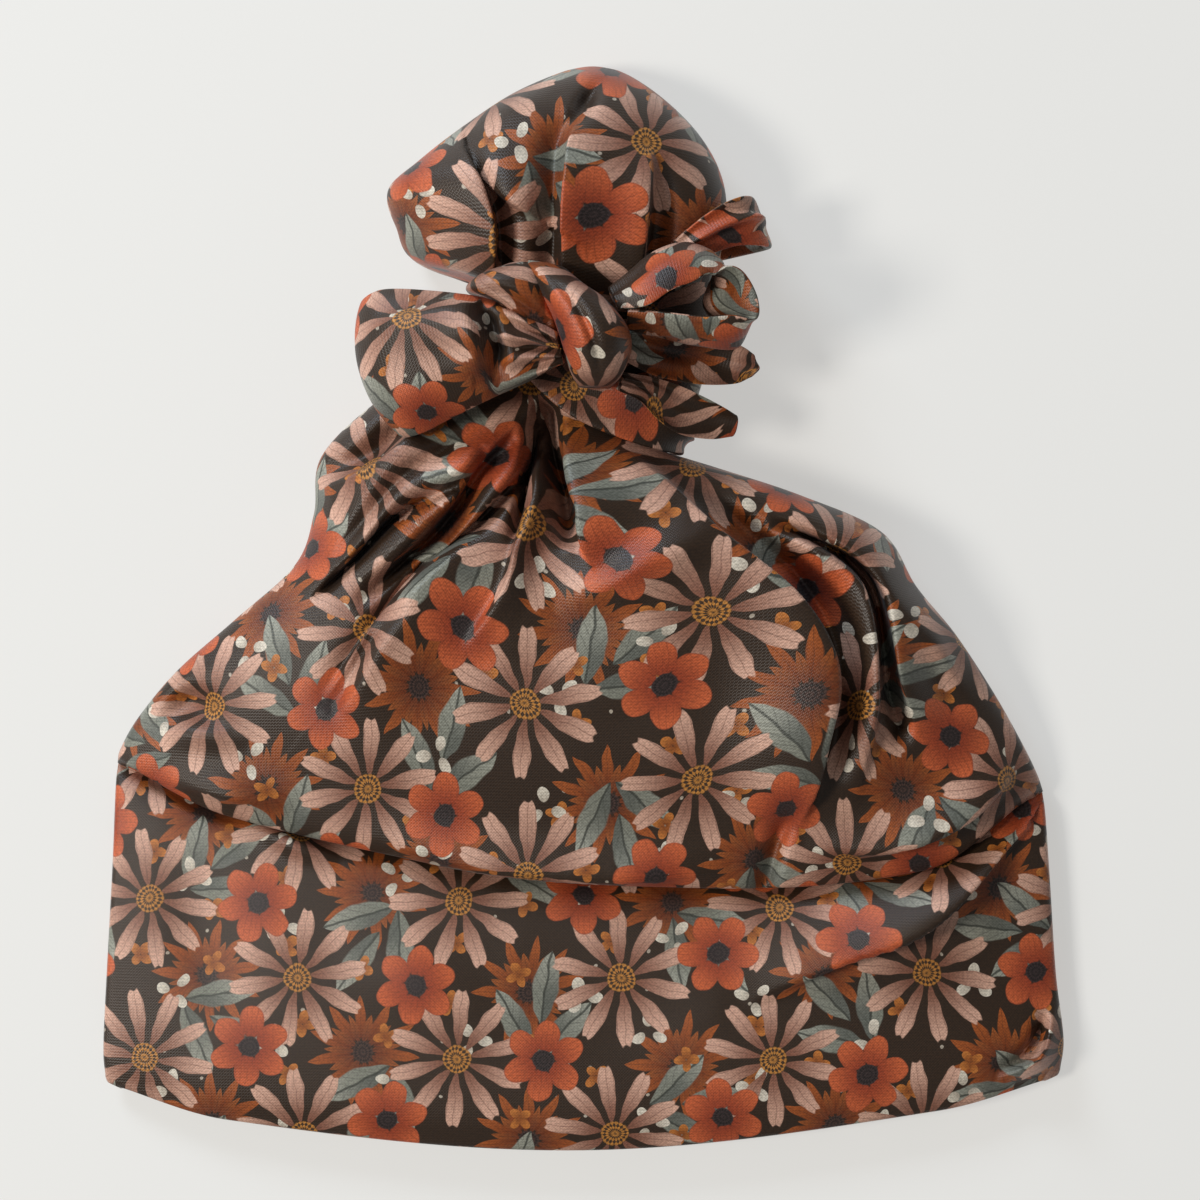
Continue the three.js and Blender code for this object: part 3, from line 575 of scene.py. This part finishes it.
def flatten(points, start):
    """Lays a sheet of points out flat with little stretch and shear, from a start of flat places."""
    triangles = sheet_triangles(points)
    facing = np.sign(start[-1, :, 1].mean() - start[0, :, 1].mean())
    flat = start[..., 0] + 1j * start[..., 1] * facing
    weight = np.zeros(flat.shape)
    for corners, slope_x, slope_y, area in triangles:
        for corner, share_x, share_y in zip(corners, slope_x, slope_y):
            weight[corner] += area * (share_x**2 + share_y**2)
    for _ in range(FLATTEN_ROUNDS):
        turns = []
        for triangle in triangles:
            along, across = slopes(flat, triangle)
            turn = along - 1j * across
            turns.append(turn / (np.abs(turn) + TINY))
        rest = -strain(flat, triangles, turns)
        step = rest / weight
        size = np.vdot(rest, step).real
        for _ in range(FLATTEN_STEPS):
            pull = strain(step, triangles, (0, 0))
            share = size / (np.vdot(step, pull).real + TINY)
            flat = flat + share * step
            rest = rest - share * pull
            softened = rest / weight
            new_size = np.vdot(rest, softened).real
            step = softened + new_size / (size + TINY) * step
            size = new_size
    return np.stack([flat.real, flat.imag], axis=2)


def bag_print(bag, rings, along):
    """Flat places round a bag's rings: its top laid out flat, its underside carried on past both edges."""
    top = top_columns(bag)
    flat = flatten(rings[:, top], bag_upper(bag, along, [])[..., :2])
    wrapped = np.concatenate([rings, rings[:, :1]], axis=1)
    steps = np.linalg.norm(np.diff(wrapped, axis=1), axis=2)
    left = np.cumsum(steps[:, :top.start][:, ::-1], axis=1)[:, ::-1]
    right = np.cumsum(steps[:, top.stop - 1:], axis=1)
    left_y = np.repeat(flat[:, :1, 1], left.shape[1], axis=1)
    right_y = np.repeat(flat[:, -1:, 1], right.shape[1], axis=1)
    left_flat = np.stack([flat[:, :1, 0] - left, left_y], axis=2)
    right_flat = np.stack([flat[:, -1:, 0] + right, right_y], axis=2)
    return np.concatenate([left_flat, flat, right_flat], axis=1)


def strap_ring_shares(steps):
    """Places across a strap, over its upper face and back along the under face, and the side of each."""
    turn = np.linspace(0, math.pi, steps + 1)
    over = (1 - np.cos(turn)) / 2
    shares = np.concatenate([over, over[-2:0:-1]])
    sides = np.concatenate([np.ones(steps + 1), -np.ones(steps - 1)])
    return shares, sides


def strap(rows, folds, gathers, steps, closed):
    """A strap of cloth between two edges, as rings along it."""
    edge_a, edge_b, puff, ahead = rows[:, 0:3], rows[:, 3:6], rows[:, 6], rows[:, 7]
    middle = (edge_a + edge_b) / 2
    if closed:
        way = np.roll(middle, -1, axis=0) - np.roll(middle, 1, axis=0)
    else:
        way = np.gradient(middle, axis=0)
    way /= np.linalg.norm(way, axis=1, keepdims=True)
    normal = np.cross(way, edge_b - edge_a)
    normal /= np.linalg.norm(normal, axis=1, keepdims=True)
    shares, sides = strap_ring_shares(steps)
    off_middle = np.abs(2 * shares - 1)
    length = np.append(0, np.cumsum(np.linalg.norm(np.diff(middle, axis=0), axis=1)))
    width = np.linalg.norm(edge_b - edge_a, axis=1)
    along = np.repeat(length[:, None], len(shares), axis=1)
    across = width[:, None] * shares
    count, height, reach = gathers
    lift = puff[:, None] * (1 - off_middle**PUFF_POWER)
    lift = lift + height * np.sin(TAU * count * shares) * np.exp(-((along / reach) ** 2))
    for fold in folds:
        lift = lift + fold_push(fold, along, across)[0]
    half = TIE_WALL / 2 * sides * np.sqrt(np.maximum(1 - off_middle**STRAP_EDGE_POWER, 0))
    flat = edge_a[:, None] + (edge_b - edge_a)[:, None] * shares[:, None]
    flat = flat + way[:, None] * (ahead[:, None] * (1 - off_middle**2))[..., None]
    return flat + normal[:, None] * (lift + half)[..., None]


def strap_print(rings, closed):
    """Flat places of a strap: round each ring from its first edge, and from ring to ring."""
    wrapped = np.concatenate([rings, rings[:, :1]], axis=1)
    if closed:
        wrapped = np.concatenate([wrapped, wrapped[:1]])
    around = np.linalg.norm(np.diff(wrapped, axis=1), axis=2)
    u = np.pad(np.cumsum(around, axis=1), ((0, 0), (1, 0)))
    ahead = np.linalg.norm(np.diff(wrapped, axis=0), axis=2).mean(axis=1)
    v = np.append(0, np.cumsum(ahead))
    return np.stack([u, np.repeat(v[:, None], u.shape[1], axis=1)], axis=2)


def open_strap(stations, folds, gathers, steps_along, steps_across):
    """A strap with two ends, and its print."""
    rows = curve(stations, np.linspace(0, 1, steps_along + 1))
    rings = strap(rows, folds, gathers, steps_across, closed=False)
    return rings, strap_print(rings, closed=False)


def neck_wrap(steps_along, steps_across, puff):
    """The closed turn of the tie round the neck, and its print."""
    looped = np.array(WRAP_TURN[-2:] + WRAP_TURN + WRAP_TURN[:3], float)
    places = np.arange(steps_along) / steps_along * len(WRAP_TURN) + 2
    along, height, start, end = (weights(np.arange(len(looped)), places) @ looped).T
    line = NECK_POINT + along[:, None] * NECK_ALONG
    edges = [np.column_stack([line + offset[:, None] * NECK_TOWARD_BUN, height])
             for offset in (start, end)]
    rows = np.column_stack([*edges, np.full(steps_along, puff), np.zeros(steps_along)])
    rings = strap(rows, [], NO_GATHERS, steps_across, closed=True)
    return rings, strap_print(rings, closed=True)


def cloth_mesh(name, rings, flat, print_offset):
    """A mesh of rings: closed to a loop where the print has one row more, else capped at both ends."""
    count, size = rings.shape[:2]
    closed = len(flat) > count
    places = flat * MM + np.asarray(print_offset)
    ids = np.arange(count * size).reshape(count, size)
    ids = np.concatenate([ids, ids[:, :1]], axis=1)
    if closed:
        ids = np.concatenate([ids, ids[:1]])
    corners = np.arange(ids.size).reshape(ids.shape)
    quads = [np.stack([grid[:-1, :-1], grid[:-1, 1:], grid[1:, 1:], grid[1:, :-1]], axis=2).reshape(-1, 4)
             for grid in (ids, corners)]
    points = rings.reshape(-1, 3) * MM
    faces = quads[0].tolist()
    face_places = [places.reshape(-1, 2)[quads[1]].reshape(-1, 2)]
    if not closed:
        for row, order in ((0, -1), (count - 1, 1)):
            centre = len(points)
            points = np.append(points, points[ids[row, :-1]].mean(axis=0)[None], axis=0)
            centre_place = places[row].mean(axis=0)
            for column in range(size):
                pair = [column, column + 1][::order]
                faces.append([ids[row, pair[0]], ids[row, pair[1]], centre])
                face_places.append(np.vstack([places[row, pair], centre_place]))
    mesh = bpy.data.meshes.new(name)
    mesh.from_pydata(points.tolist(), [], faces)
    layer = mesh.uv_layers.new(name="print")
    layer.data.foreach_set("uv", np.concatenate(face_places).ravel().astype(np.float32))
    mesh.polygons.foreach_set("use_smooth", np.ones(len(faces), bool))
    turn_outward(mesh)
    return mesh


def turn_outward(mesh):
    """Turns a closed mesh's faces so that they point out."""
    mesh.calc_loop_triangles()
    points = np.empty(len(mesh.vertices) * 3, np.float32)
    mesh.vertices.foreach_get("co", points)
    corners = np.empty(len(mesh.loop_triangles) * 3, np.int32)
    mesh.loop_triangles.foreach_get("vertices", corners)
    a, b, c = points.reshape(-1, 3)[corners.reshape(-1, 3)].astype(float).transpose(1, 0, 2)
    if (a * np.cross(b, c)).sum() < 0:
        mesh.flip_normals()


def cloth_piece(node, slot, material, shape):
    """A piece of cloth that stands for a solid of the same name."""
    print_place, flat_size, flat_area, held, rests_on = CLOTH[node]
    piece = bpy.data.objects.new(node + "_cloth", cloth_mesh(node, *shape, print_place))
    bpy.context.scene.collection.objects.link(piece)
    piece.data.materials.append(material)
    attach(piece, "root")
    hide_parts(node)


class Signal:
    """A number that flows through a shader, so that its formulas read as formulas."""

    def __init__(self, tree, socket):
        self.tree = tree
        self.socket = socket

    def maths(self, operation, *others):
        node = self.tree.nodes.new("ShaderNodeMath")
        node.operation = operation
        for socket, value in zip(node.inputs, (self, *others)):
            feed(self.tree, socket, value)
        return Signal(self.tree, node.outputs[0])

    def __add__(self, other):
        return self.maths("ADD", other)

    def __sub__(self, other):
        return self.maths("SUBTRACT", other)

    def __mul__(self, other):
        return self.maths("MULTIPLY", other)

    def __truediv__(self, other):
        return self.maths("DIVIDE", other)

    def floor(self):
        return self.maths("FLOOR")

    def absolute(self):
        return self.maths("ABSOLUTE")

    def cosine(self):
        return self.maths("COSINE")

    def sine(self):
        return self.maths("SINE")

    def over(self, limit):
        return self.maths("GREATER_THAN", limit)

    def ramp(self, low, high):
        """0 at low and 1 at high, smooth between."""
        node = self.tree.nodes.new("ShaderNodeMapRange")
        node.interpolation_type = "SMOOTHSTEP"
        for socket, value in zip(node.inputs, (self, low, high)):
            feed(self.tree, socket, value)
        return Signal(self.tree, node.outputs[0])


def feed(tree, socket, value):
    """Links a signal or socket to an input, or sets the input to a plain value."""
    if isinstance(value, Signal):
        tree.links.new(value.socket, socket)
    elif isinstance(value, bpy.types.NodeSocket):
        tree.links.new(value, socket)
    else:
        socket.default_value = value


def hypotenuse(x, y):
    return (x * x + y * y).maths("SQRT")


def linear(hex_colour):
    """A colour given as six hexadecimal digits, in linear light."""
    parts = [int(hex_colour[k:k + 2], 16) / 255 for k in (0, 2, 4)]
    return (*[p / 12.92 if p <= 0.04045 else ((p + 0.055) / 1.055) ** 2.4 for p in parts], 1)


def paint(tree, share, below, above):
    """One colour laid over another."""
    node = tree.nodes.new("ShaderNodeMix")
    node.data_type = "RGBA"
    feed(tree, node.inputs["Factor"], share)
    feed(tree, node.inputs[6], below)
    feed(tree, node.inputs[7], above)
    return node.outputs[2]


def cells(tree, x, y, pitch, shift, seed, jitter):
    """A half-drop repeat: the place inside a motif's cell in metres, and the cell's three random numbers."""
    column_at = x / pitch + shift[0]
    column = column_at.floor()
    row_at = y / pitch + shift[1] + column * 0.5
    row = row_at.floor()
    key = tree.nodes.new("ShaderNodeCombineXYZ")
    for socket, value in zip(key.inputs, (column, row, float(seed))):
        feed(tree, socket, value)
    noise = tree.nodes.new("ShaderNodeTexWhiteNoise")
    noise.noise_dimensions = "3D"
    tree.links.new(key.outputs[0], noise.inputs["Vector"])
    parts = tree.nodes.new("ShaderNodeSeparateColor")
    tree.links.new(noise.outputs["Color"], parts.inputs[0])
    randoms = [Signal(tree, socket) for socket in parts.outputs]
    inner_x = (column_at - column - 0.5 + (randoms[0] - 0.5) * jitter) * pitch
    inner_y = (row_at - row - 0.5 + (randoms[1] - 0.5) * jitter) * pitch
    return inner_x, inner_y, randoms


def petal_frame(x, y, turn, count):
    """Places along and across the nearest of a flower's petals."""
    angle = (y.maths("ARCTAN2", x) + turn * TAU) * (count / TAU)
    lean = (angle - angle.floor() - 0.5) * (TAU / count)
    radius = hypotenuse(x, y)
    return radius * lean.cosine(), radius * lean.sine()


def oval(along, across, middle, length, width):
    """Below 1 inside an oval petal."""
    far = (along - middle) / length
    wide = across / width
    return far * far + wide * wide


def almond(along, across, middle, length, width):
    """Below 1 inside a petal or leaf with pointed ends."""
    far = (along - middle) / length
    room = (far * far * -1 + 1).maths("MAXIMUM", 0.001) * width
    return across.absolute() / room


def inside(shape):
    """1 inside a shape and 0 outside it, with a soft edge."""
    return shape.ramp(1.0, 0.84)


def streaks(across, spacing):
    """Fine dark lines along a petal."""
    return (across * (TAU / spacing)).cosine().ramp(0.86, 1.0)


# How many petals the flowers have, spirals their middles, and berries a bunch
COSMOS_PETALS = 10
DAHLIA_PETALS = 11
BLOSSOM_PETALS = 6
LITTLE_PETALS = 4
SEED_SPIRALS = 9
BUNCH = 3


def cosmos(tree, colour, x, y, randoms, radius):
    """A pink flower of notched petals round an ochre middle."""
    along, across = petal_frame(x, y, randoms[2], COSMOS_PETALS)
    cleft = (across / (radius * 0.06)).absolute().ramp(1.0, 0.0)
    notch = cleft * along.ramp(radius * 0.84, radius) * 0.45
    width = along.ramp(radius * 0.1, radius * 0.9) * (radius * 0.068) + radius * 0.066
    shape = oval(along, across, radius * 0.58, radius * 0.42, width) + notch
    petal = paint(tree, along.ramp(radius * 0.2, radius * 0.95), linear("8a5946"), linear("dfb09a"))
    petal = paint(tree, streaks(across, radius * 0.1) * 0.5, petal, linear("744c3e"))
    colour = paint(tree, inside(shape), colour, petal)
    return flower_middle(tree, colour, x, y, radius * 0.2, "c4843c", "45301f")


def dahlia(tree, colour, x, y, randoms, radius):
    """A rust flower of two rings of pointed petals round a dark middle."""
    for turn, middle, length, width, dark, light in (
        (0.0, 0.60, 0.40, 0.105, "733312", "a85724"),
        (0.5 / DAHLIA_PETALS, 0.40, 0.28, 0.075, "74391d", "b26229"),
    ):
        along, across = petal_frame(x, y, randoms[2] + turn, DAHLIA_PETALS)
        shape = almond(along, across, radius * middle, radius * length, radius * width)
        petal = paint(tree, along.ramp(radius * 0.15, radius * 0.9), linear(dark), linear(light))
        petal = paint(tree, streaks(across, radius * 0.09) * 0.45, petal, linear("4a2415"))
        colour = paint(tree, inside(shape), colour, petal)
    return flower_middle(tree, colour, x, y, radius * 0.19, "4d3730", "2a1f1c")


def blossom(tree, colour, x, y, randoms, radius):
    """A coral flower of six round petals with a dark middle."""
    along, across = petal_frame(x, y, randoms[2], BLOSSOM_PETALS)
    shape = oval(along, across, radius * 0.6, radius * 0.4, radius * 0.32)
    petal = paint(tree, along.ramp(radius * 0.2, radius), linear("9c3f22"), linear("d2663a"))
    petal = paint(tree, streaks(across, radius * 0.13) * 0.35, petal, linear("74301d"))
    petal = paint(tree, shape.ramp(0.72, 0.98) * 0.6, petal, linear("74301d"))
    colour = paint(tree, inside(shape), colour, petal)
    return flower_middle(tree, colour, x, y, radius * 0.27, "3c2f2e", "241b1a")


def flower_middle(tree, colour, x, y, radius, light, dark):
    """The middle of a flower, seeded along two sets of spirals."""
    angle = y.maths("ARCTAN2", x) * SEED_SPIRALS
    distance = hypotenuse(x, y)
    swirl = distance * (SEED_SPIRALS / radius)
    seeds = (angle + swirl).sine() * (angle - swirl).sine()
    middle = paint(tree, seeds.ramp(-0.3, 0.3), linear(light), linear(dark))
    return paint(tree, distance.ramp(radius, radius * 0.88), colour, middle)


def leaf_colours(tree, along, across, length, width):
    """A sage leaf with a lighter and a darker half, veins and a midrib."""
    leaf = paint(tree, across.ramp(-width * 0.1, width * 0.1), linear("666860"), linear("85867a"))
    leaf = paint(tree, along.ramp(length * 0.3, length), leaf, linear("a3a396"))
    veins = streaks(across.absolute() - along * 0.6, width * 0.62)
    leaf = paint(tree, veins * 0.4, leaf, linear("4a4c44"))
    midrib = (across / (width * 0.12)).absolute().ramp(1.0, 0.3)
    return paint(tree, midrib * 0.85, leaf, linear("3c3e37"))


def sprigs(tree, colour, x, y, randoms, length, width):
    """A sprig of three leaves: two at the sides and one ahead."""
    along, across = petal_frame(x, y, randoms[2], 1)
    ahead = along + length * 0.15
    side = across.absolute() - length * 0.03
    lean_along = (along + length * 0.55) * 0.8 + side * 0.6
    lean_across = side * 0.8 - (along + length * 0.55) * 0.6
    for leaf_along, leaf_across in ((lean_along, lean_across), (ahead, across)):
        shape = almond(leaf_along, leaf_across, length * 0.5, length * 0.5, width)
        leaf = leaf_colours(tree, leaf_along, leaf_across, length, width)
        colour = paint(tree, inside(shape), colour, leaf)
    return colour


def little_flowers(tree, colour, x, y, randoms, radius, left_out):
    """Small ochre flowers of four petals."""
    along, across = petal_frame(x, y, randoms[2], LITTLE_PETALS)
    shape = oval(along, across, radius * 0.52, radius * 0.5, radius * 0.36)
    petal = paint(tree, along.ramp(0, radius), linear("8f4d1e"), linear("c87a36"))
    return paint(tree, inside(shape) * randoms[0].over(left_out), colour, petal)


def berries(tree, colour, x, y, randoms, radius, left_out):
    """Cream berries in threes."""
    along, across = petal_frame(x, y, randoms[2], BUNCH)
    shape = oval(along, across, radius * 0.62, radius * 0.38, radius * 0.27)
    berry = paint(tree, along.ramp(0, radius), linear("b3a696"), linear("e6dccb"))
    return paint(tree, inside(shape) * randoms[1].over(left_out), colour, berry)


def specks(tree, colour, x, y, randoms, radius, left_out):
    """Scattered pale dots."""
    dot = hypotenuse(x, y).ramp(radius, radius * 0.6)
    return paint(tree, dot * randoms[2].over(left_out), colour, linear("b9ac9c"))


# Layers of the print from the dark ground up: the motif, the pitch of its repeat, shift, seed, jitter, and
# its sizes in metres, some with the share of cells left out; the big flowers share one pitch, and each kind
# sits in the gaps of the others
PRINT_GROUND = "352416"
PITCH = 0.0435
PRINT_LAYERS = [
    (specks, 0.0135, (0.3, 0.8), 31, 0.5, {"radius": 0.0006, "left_out": 0.45}),
    (dahlia, PITCH, (-0.375, -0.5), 22, 0.2, {"radius": 0.0158}),
    (sprigs, PITCH, (-0.5, -0.25), 12, 0.1, {"length": 0.0210, "width": 0.0039}),
    (little_flowers, 0.021, (0.6, 0.3), 41, 0.5, {"radius": 0.0036, "left_out": 0.25}),
    (berries, 0.027, (0.15, 0.45), 51, 0.45, {"radius": 0.0056, "left_out": 0.3}),
    (cosmos, PITCH, (0, 0), 21, 0.06, {"radius": 0.0203}),
    (blossom, PITCH, (-0.625, 0), 23, 0.36, {"radius": 0.0115}),
]


def printed_flowers(tree, x, y):
    """The print, one layer over another."""
    colour = linear(PRINT_GROUND)
    for motif, pitch, shift, seed, jitter, sizes in PRINT_LAYERS:
        colour = motif(tree, colour, *cells(tree, x, y, pitch, shift, seed, jitter), **sizes)
    return colour


def plain_noise(tree, places, scale):
    """Smooth noise over the flat cloth."""
    noise = tree.nodes.new("ShaderNodeTexNoise")
    noise.noise_dimensions = "2D"
    noise.inputs["Scale"].default_value = scale
    noise.inputs["Detail"].default_value = 0
    tree.links.new(places.outputs[0], noise.inputs["Vector"])
    return noise


def knit_material(name):
    """Brushed stretch knit with the print: fine stitches with painted shade in their hollows, uneven yarn
    and a soft sheen.
    """
    material = bpy.data.materials.new(name)
    material.use_nodes = True
    tree = material.node_tree
    shader = tree.nodes["Principled BSDF"]
    places = tree.nodes.new("ShaderNodeUVMap")
    places.uv_map = "print"
    parts = tree.nodes.new("ShaderNodeSeparateXYZ")
    tree.links.new(places.outputs[0], parts.inputs[0])
    x, y = (Signal(tree, parts.outputs[k]) for k in range(2))
    wobble = plain_noise(tree, places, WOBBLE_SCALE)
    drift = tree.nodes.new("ShaderNodeSeparateColor")
    tree.links.new(wobble.outputs["Color"], drift.inputs[0])
    drawn_x = x + (Signal(tree, drift.outputs[0]) - 0.5) * DRAWN_WOBBLE
    drawn_y = y + (Signal(tree, drift.outputs[1]) - 0.5) * DRAWN_WOBBLE
    colour = printed_flowers(tree, drawn_x, drawn_y)
    wales = (x * (TAU / STITCH)).sine()
    stitches = wales * (y * (TAU / STITCH) + wales).sine()
    yarn = Signal(tree, plain_noise(tree, places, YARN_SCALE).outputs["Fac"])
    # Painted shade: the print darkens in the hollows between stitches, where the bump sinks; the yarn noise
    # adds its real uneven tone
    stitch_shade_and_yarn_tone = stitches.ramp(-1.0, 1.0) * STITCH_SHADE + yarn.ramp(0.3, 0.7) * YARN_SHADE
    shade = paint(tree, stitch_shade_and_yarn_tone, colour, (0, 0, 0, 1))
    tree.links.new(shade, shader.inputs["Base Color"])
    bump = tree.nodes.new("ShaderNodeBump")
    bump.inputs["Strength"].default_value = 0.25
    bump.inputs["Distance"].default_value = STITCH_DEPTH
    feed(tree, bump.inputs["Height"], stitches * -1)
    tree.links.new(bump.outputs[0], shader.inputs["Normal"])
    shader.inputs["Roughness"].default_value = 0.42
    shader.inputs["Specular IOR Level"].default_value = 0.42
    shader.inputs["Sheen Weight"].default_value = 0.06
    shader.inputs["Sheen Roughness"].default_value = 0.4
    shader.inputs["Sheen Tint"].default_value = (0.86, 0.91, 1, 1)
    return material


# Bags: sections, folds, how near the sides these fade out, steps across the top and along; for a lining, how
# many rows apart its rings are and how far it looks for low folds; and which way the rims bulge
BAND_BAG = {
    "sections": BAND_SECTIONS, "folds": BAND_FOLDS, "side_fade": 0.04, "top_steps": 304, "rows": 64,
    "stride": 4, "lining_reach": 6, "near_way": (0, -1, 0), "far_way": (0, 1, 0),
}
CROWN_BAG = {
    "sections": CROWN_SECTIONS, "folds": CROWN_FOLDS, "side_fade": 0.08, "top_steps": 432, "rows": 176,
    "stride": 11, "lining_reach": 14, "near_way": (0, -0.3, 0), "far_way": (*NECK_TOWARD_BUN, 0),
}
POUCH_BAG = {
    "sections": POUCH_SECTIONS, "folds": POUCH_FOLDS, "side_fade": 0.12, "top_steps": 272, "rows": 128,
    "stride": 8, "lining_reach": 10, "near_way": (-0.3, -0.4, 0),
}
KNOT_BAG = {
    "sections": KNOT_SECTIONS, "folds": KNOT_FOLDS, "side_fade": 0.1, "top_steps": 96, "rows": 96,
}
SHOULDER_BAG = {
    "sections": SHOULDER_SECTIONS, "folds": SHOULDER_FOLDS, "side_fade": 0.1, "top_steps": 80, "rows": 64,
}

# Open straps: stations, folds, gathers, and the steps along and across
SIDE_STRAP = (SIDE_FOLD, SIDE_FOLD_FOLDS, NO_GATHERS, 110, 32)
BOW_STRAPS = {
    "bow_loop_left": (LEFT_LOOP, LEFT_LOOP_FOLDS, LEFT_GATHERS, 260, 72),
    "bow_loop_right": (RIGHT_LOOP, RIGHT_LOOP_FOLDS, RIGHT_GATHERS, 220, 40),
    "tie_tail_upper": (UPPER_TAIL, UPPER_TAIL_FOLDS, TAIL_GATHERS, 90, 40),
    "tie_tail_lower": (LOWER_TAIL, LOWER_TAIL_FOLDS, TAIL_GATHERS, 90, 40),
}

# Each piece's place on the printed cloth, the width and length it was cut to, its area where that isn't
# their product, how it is held and what it lies on
CLOTH = {
    "band": ((0.013, 0.212), (0.534, 0.080), None, "laid", []),
    "crown": ((0.210, 0.310), (0.534, 0.140), 0.066, "gathered", []),
    "bun_pouch": ((0.483, 0.051), (0.186, 0.103), None, "gathered", []),
    "bun_side_fold": ((0.900, 0.400), (0.056, 0.013), None, "folded", ["bun_pouch"]),
    "tie_wrap": ((0.294, 0.699), (0.150, 0.0145), None, "stretched", ["crown"]),
    "knot": ((0.6258, 0.0285), (0.070, 0.020), None, "folded", ["tie_wrap"]),
    "knot_fold": ((0.400, 0.930), (0.050, 0.015), None, "folded", ["knot"]),
    "bow_loop_left": ((0.7038, 0.1955), (0.115, 0.038), None, "gathered", ["knot"]),
    "bow_loop_right": ((0.170, 0.860), (0.115, 0.019), None, "folded", ["knot"]),
    "tie_tail_upper": ((0.270, 0.380), (0.036, 0.019), None, "folded", ["knot"]),
    "tie_tail_lower": ((0.830, 0.290), (0.036, 0.014), None, "folded", ["knot"]),
}


def dress_cap():
    """Every piece of the cap in its printed knit."""
    cap = ("cap_cloth", knit_material("printed knit of the cap"))
    tie = ("tie_cloth", knit_material("printed knit of the tie"))
    crown_rings, crown_flat = open_bag(CROWN_BAG)
    crown_rings[..., 1] += SEAM_GAP
    cloth_piece("band", *cap, open_bag(BAND_BAG))
    cloth_piece("crown", *cap, (crown_rings, crown_flat))
    cloth_piece("bun_pouch", *cap, closed_bag(POUCH_BAG))
    cloth_piece("bun_side_fold", *cap, open_strap(*SIDE_STRAP))
    cloth_piece("tie_wrap", *tie, neck_wrap(steps_along=200, steps_across=24, puff=2))
    cloth_piece("knot", *tie, lump(KNOT_BAG))
    cloth_piece("knot_fold", *tie, lump(SHOULDER_BAG))
    for node, strap_of_bow in BOW_STRAPS.items():
        cloth_piece(node, *tie, open_strap(*strap_of_bow))


def set_camera():
    data = bpy.data.cameras.new("camera")
    data.sensor_width = SENSOR_WIDTH
    data.sensor_fit = "HORIZONTAL"
    data.lens = SENSOR_WIDTH * CAMERA_HEIGHT / FIELD_WIDTH
    camera = bpy.data.objects.new("camera", data)
    camera.location = (*CAMERA_FOOT, CAMERA_HEIGHT)
    bpy.context.scene.collection.objects.link(camera)
    bpy.context.scene.camera = camera


def lay_floor():
    mesh = bpy.data.meshes.new("floor")
    half = FLOOR_HALF
    corners = [(-half, -half, 0), (half, -half, 0), (half, half, 0), (-half, half, 0)]
    mesh.from_pydata(corners, [], [(0, 1, 2, 3)])
    floor = bpy.data.objects.new("floor", mesh)
    material = bpy.data.materials.new("floor")
    material.use_nodes = True
    shader = material.node_tree.nodes["Principled BSDF"]
    # Painted light: the floor glows with its own emission, though it is no lamp, which lifts the shadows
    # cast on it; its base colour is lowered to match
    shader.inputs["Base Color"].default_value = (0.33, 0.325, 0.315, 1)
    shader.inputs["Emission Color"].default_value = (1.0, 0.995, 0.97, 1)
    shader.inputs["Emission Strength"].default_value = 0.49
    shader.inputs["Roughness"].default_value = 0.7
    shader.inputs["Specular IOR Level"].default_value = 0.2
    mesh.materials.append(material)
    floor.location.z = -FLOOR_DROP
    bpy.context.scene.collection.objects.link(floor)


def area_light(name, place, size, power, colour):
    """A soft square light that points at the middle of the cap."""
    data = bpy.data.lights.new(name, "AREA")
    data.size = size
    data.energy = power
    data.color = colour
    light = bpy.data.objects.new(name, data)
    light.location = place
    light.rotation_euler = (-light.location).to_track_quat("-Z", "Y").to_euler()
    bpy.context.scene.collection.objects.link(light)


def set_light():
    area_light("window", place=(-1.5, -0.15, 1.6), size=0.5, power=32, colour=(1.0, 0.965, 0.9))
    area_light("sky", place=(-0.9, 1.4, 0.9), size=0.6, power=22, colour=(0.78, 0.89, 1.0))
    world = bpy.data.worlds.new("room")
    world.use_nodes = True
    background = world.node_tree.nodes["Background"]
    background.inputs["Color"].default_value = (1.0, 0.985, 0.96, 1)
    background.inputs["Strength"].default_value = 0.22
    scene = bpy.context.scene
    scene.world = world
    scene.view_settings.view_transform = "Standard"


set_camera()
dress_cap()
lay_floor()
set_light()
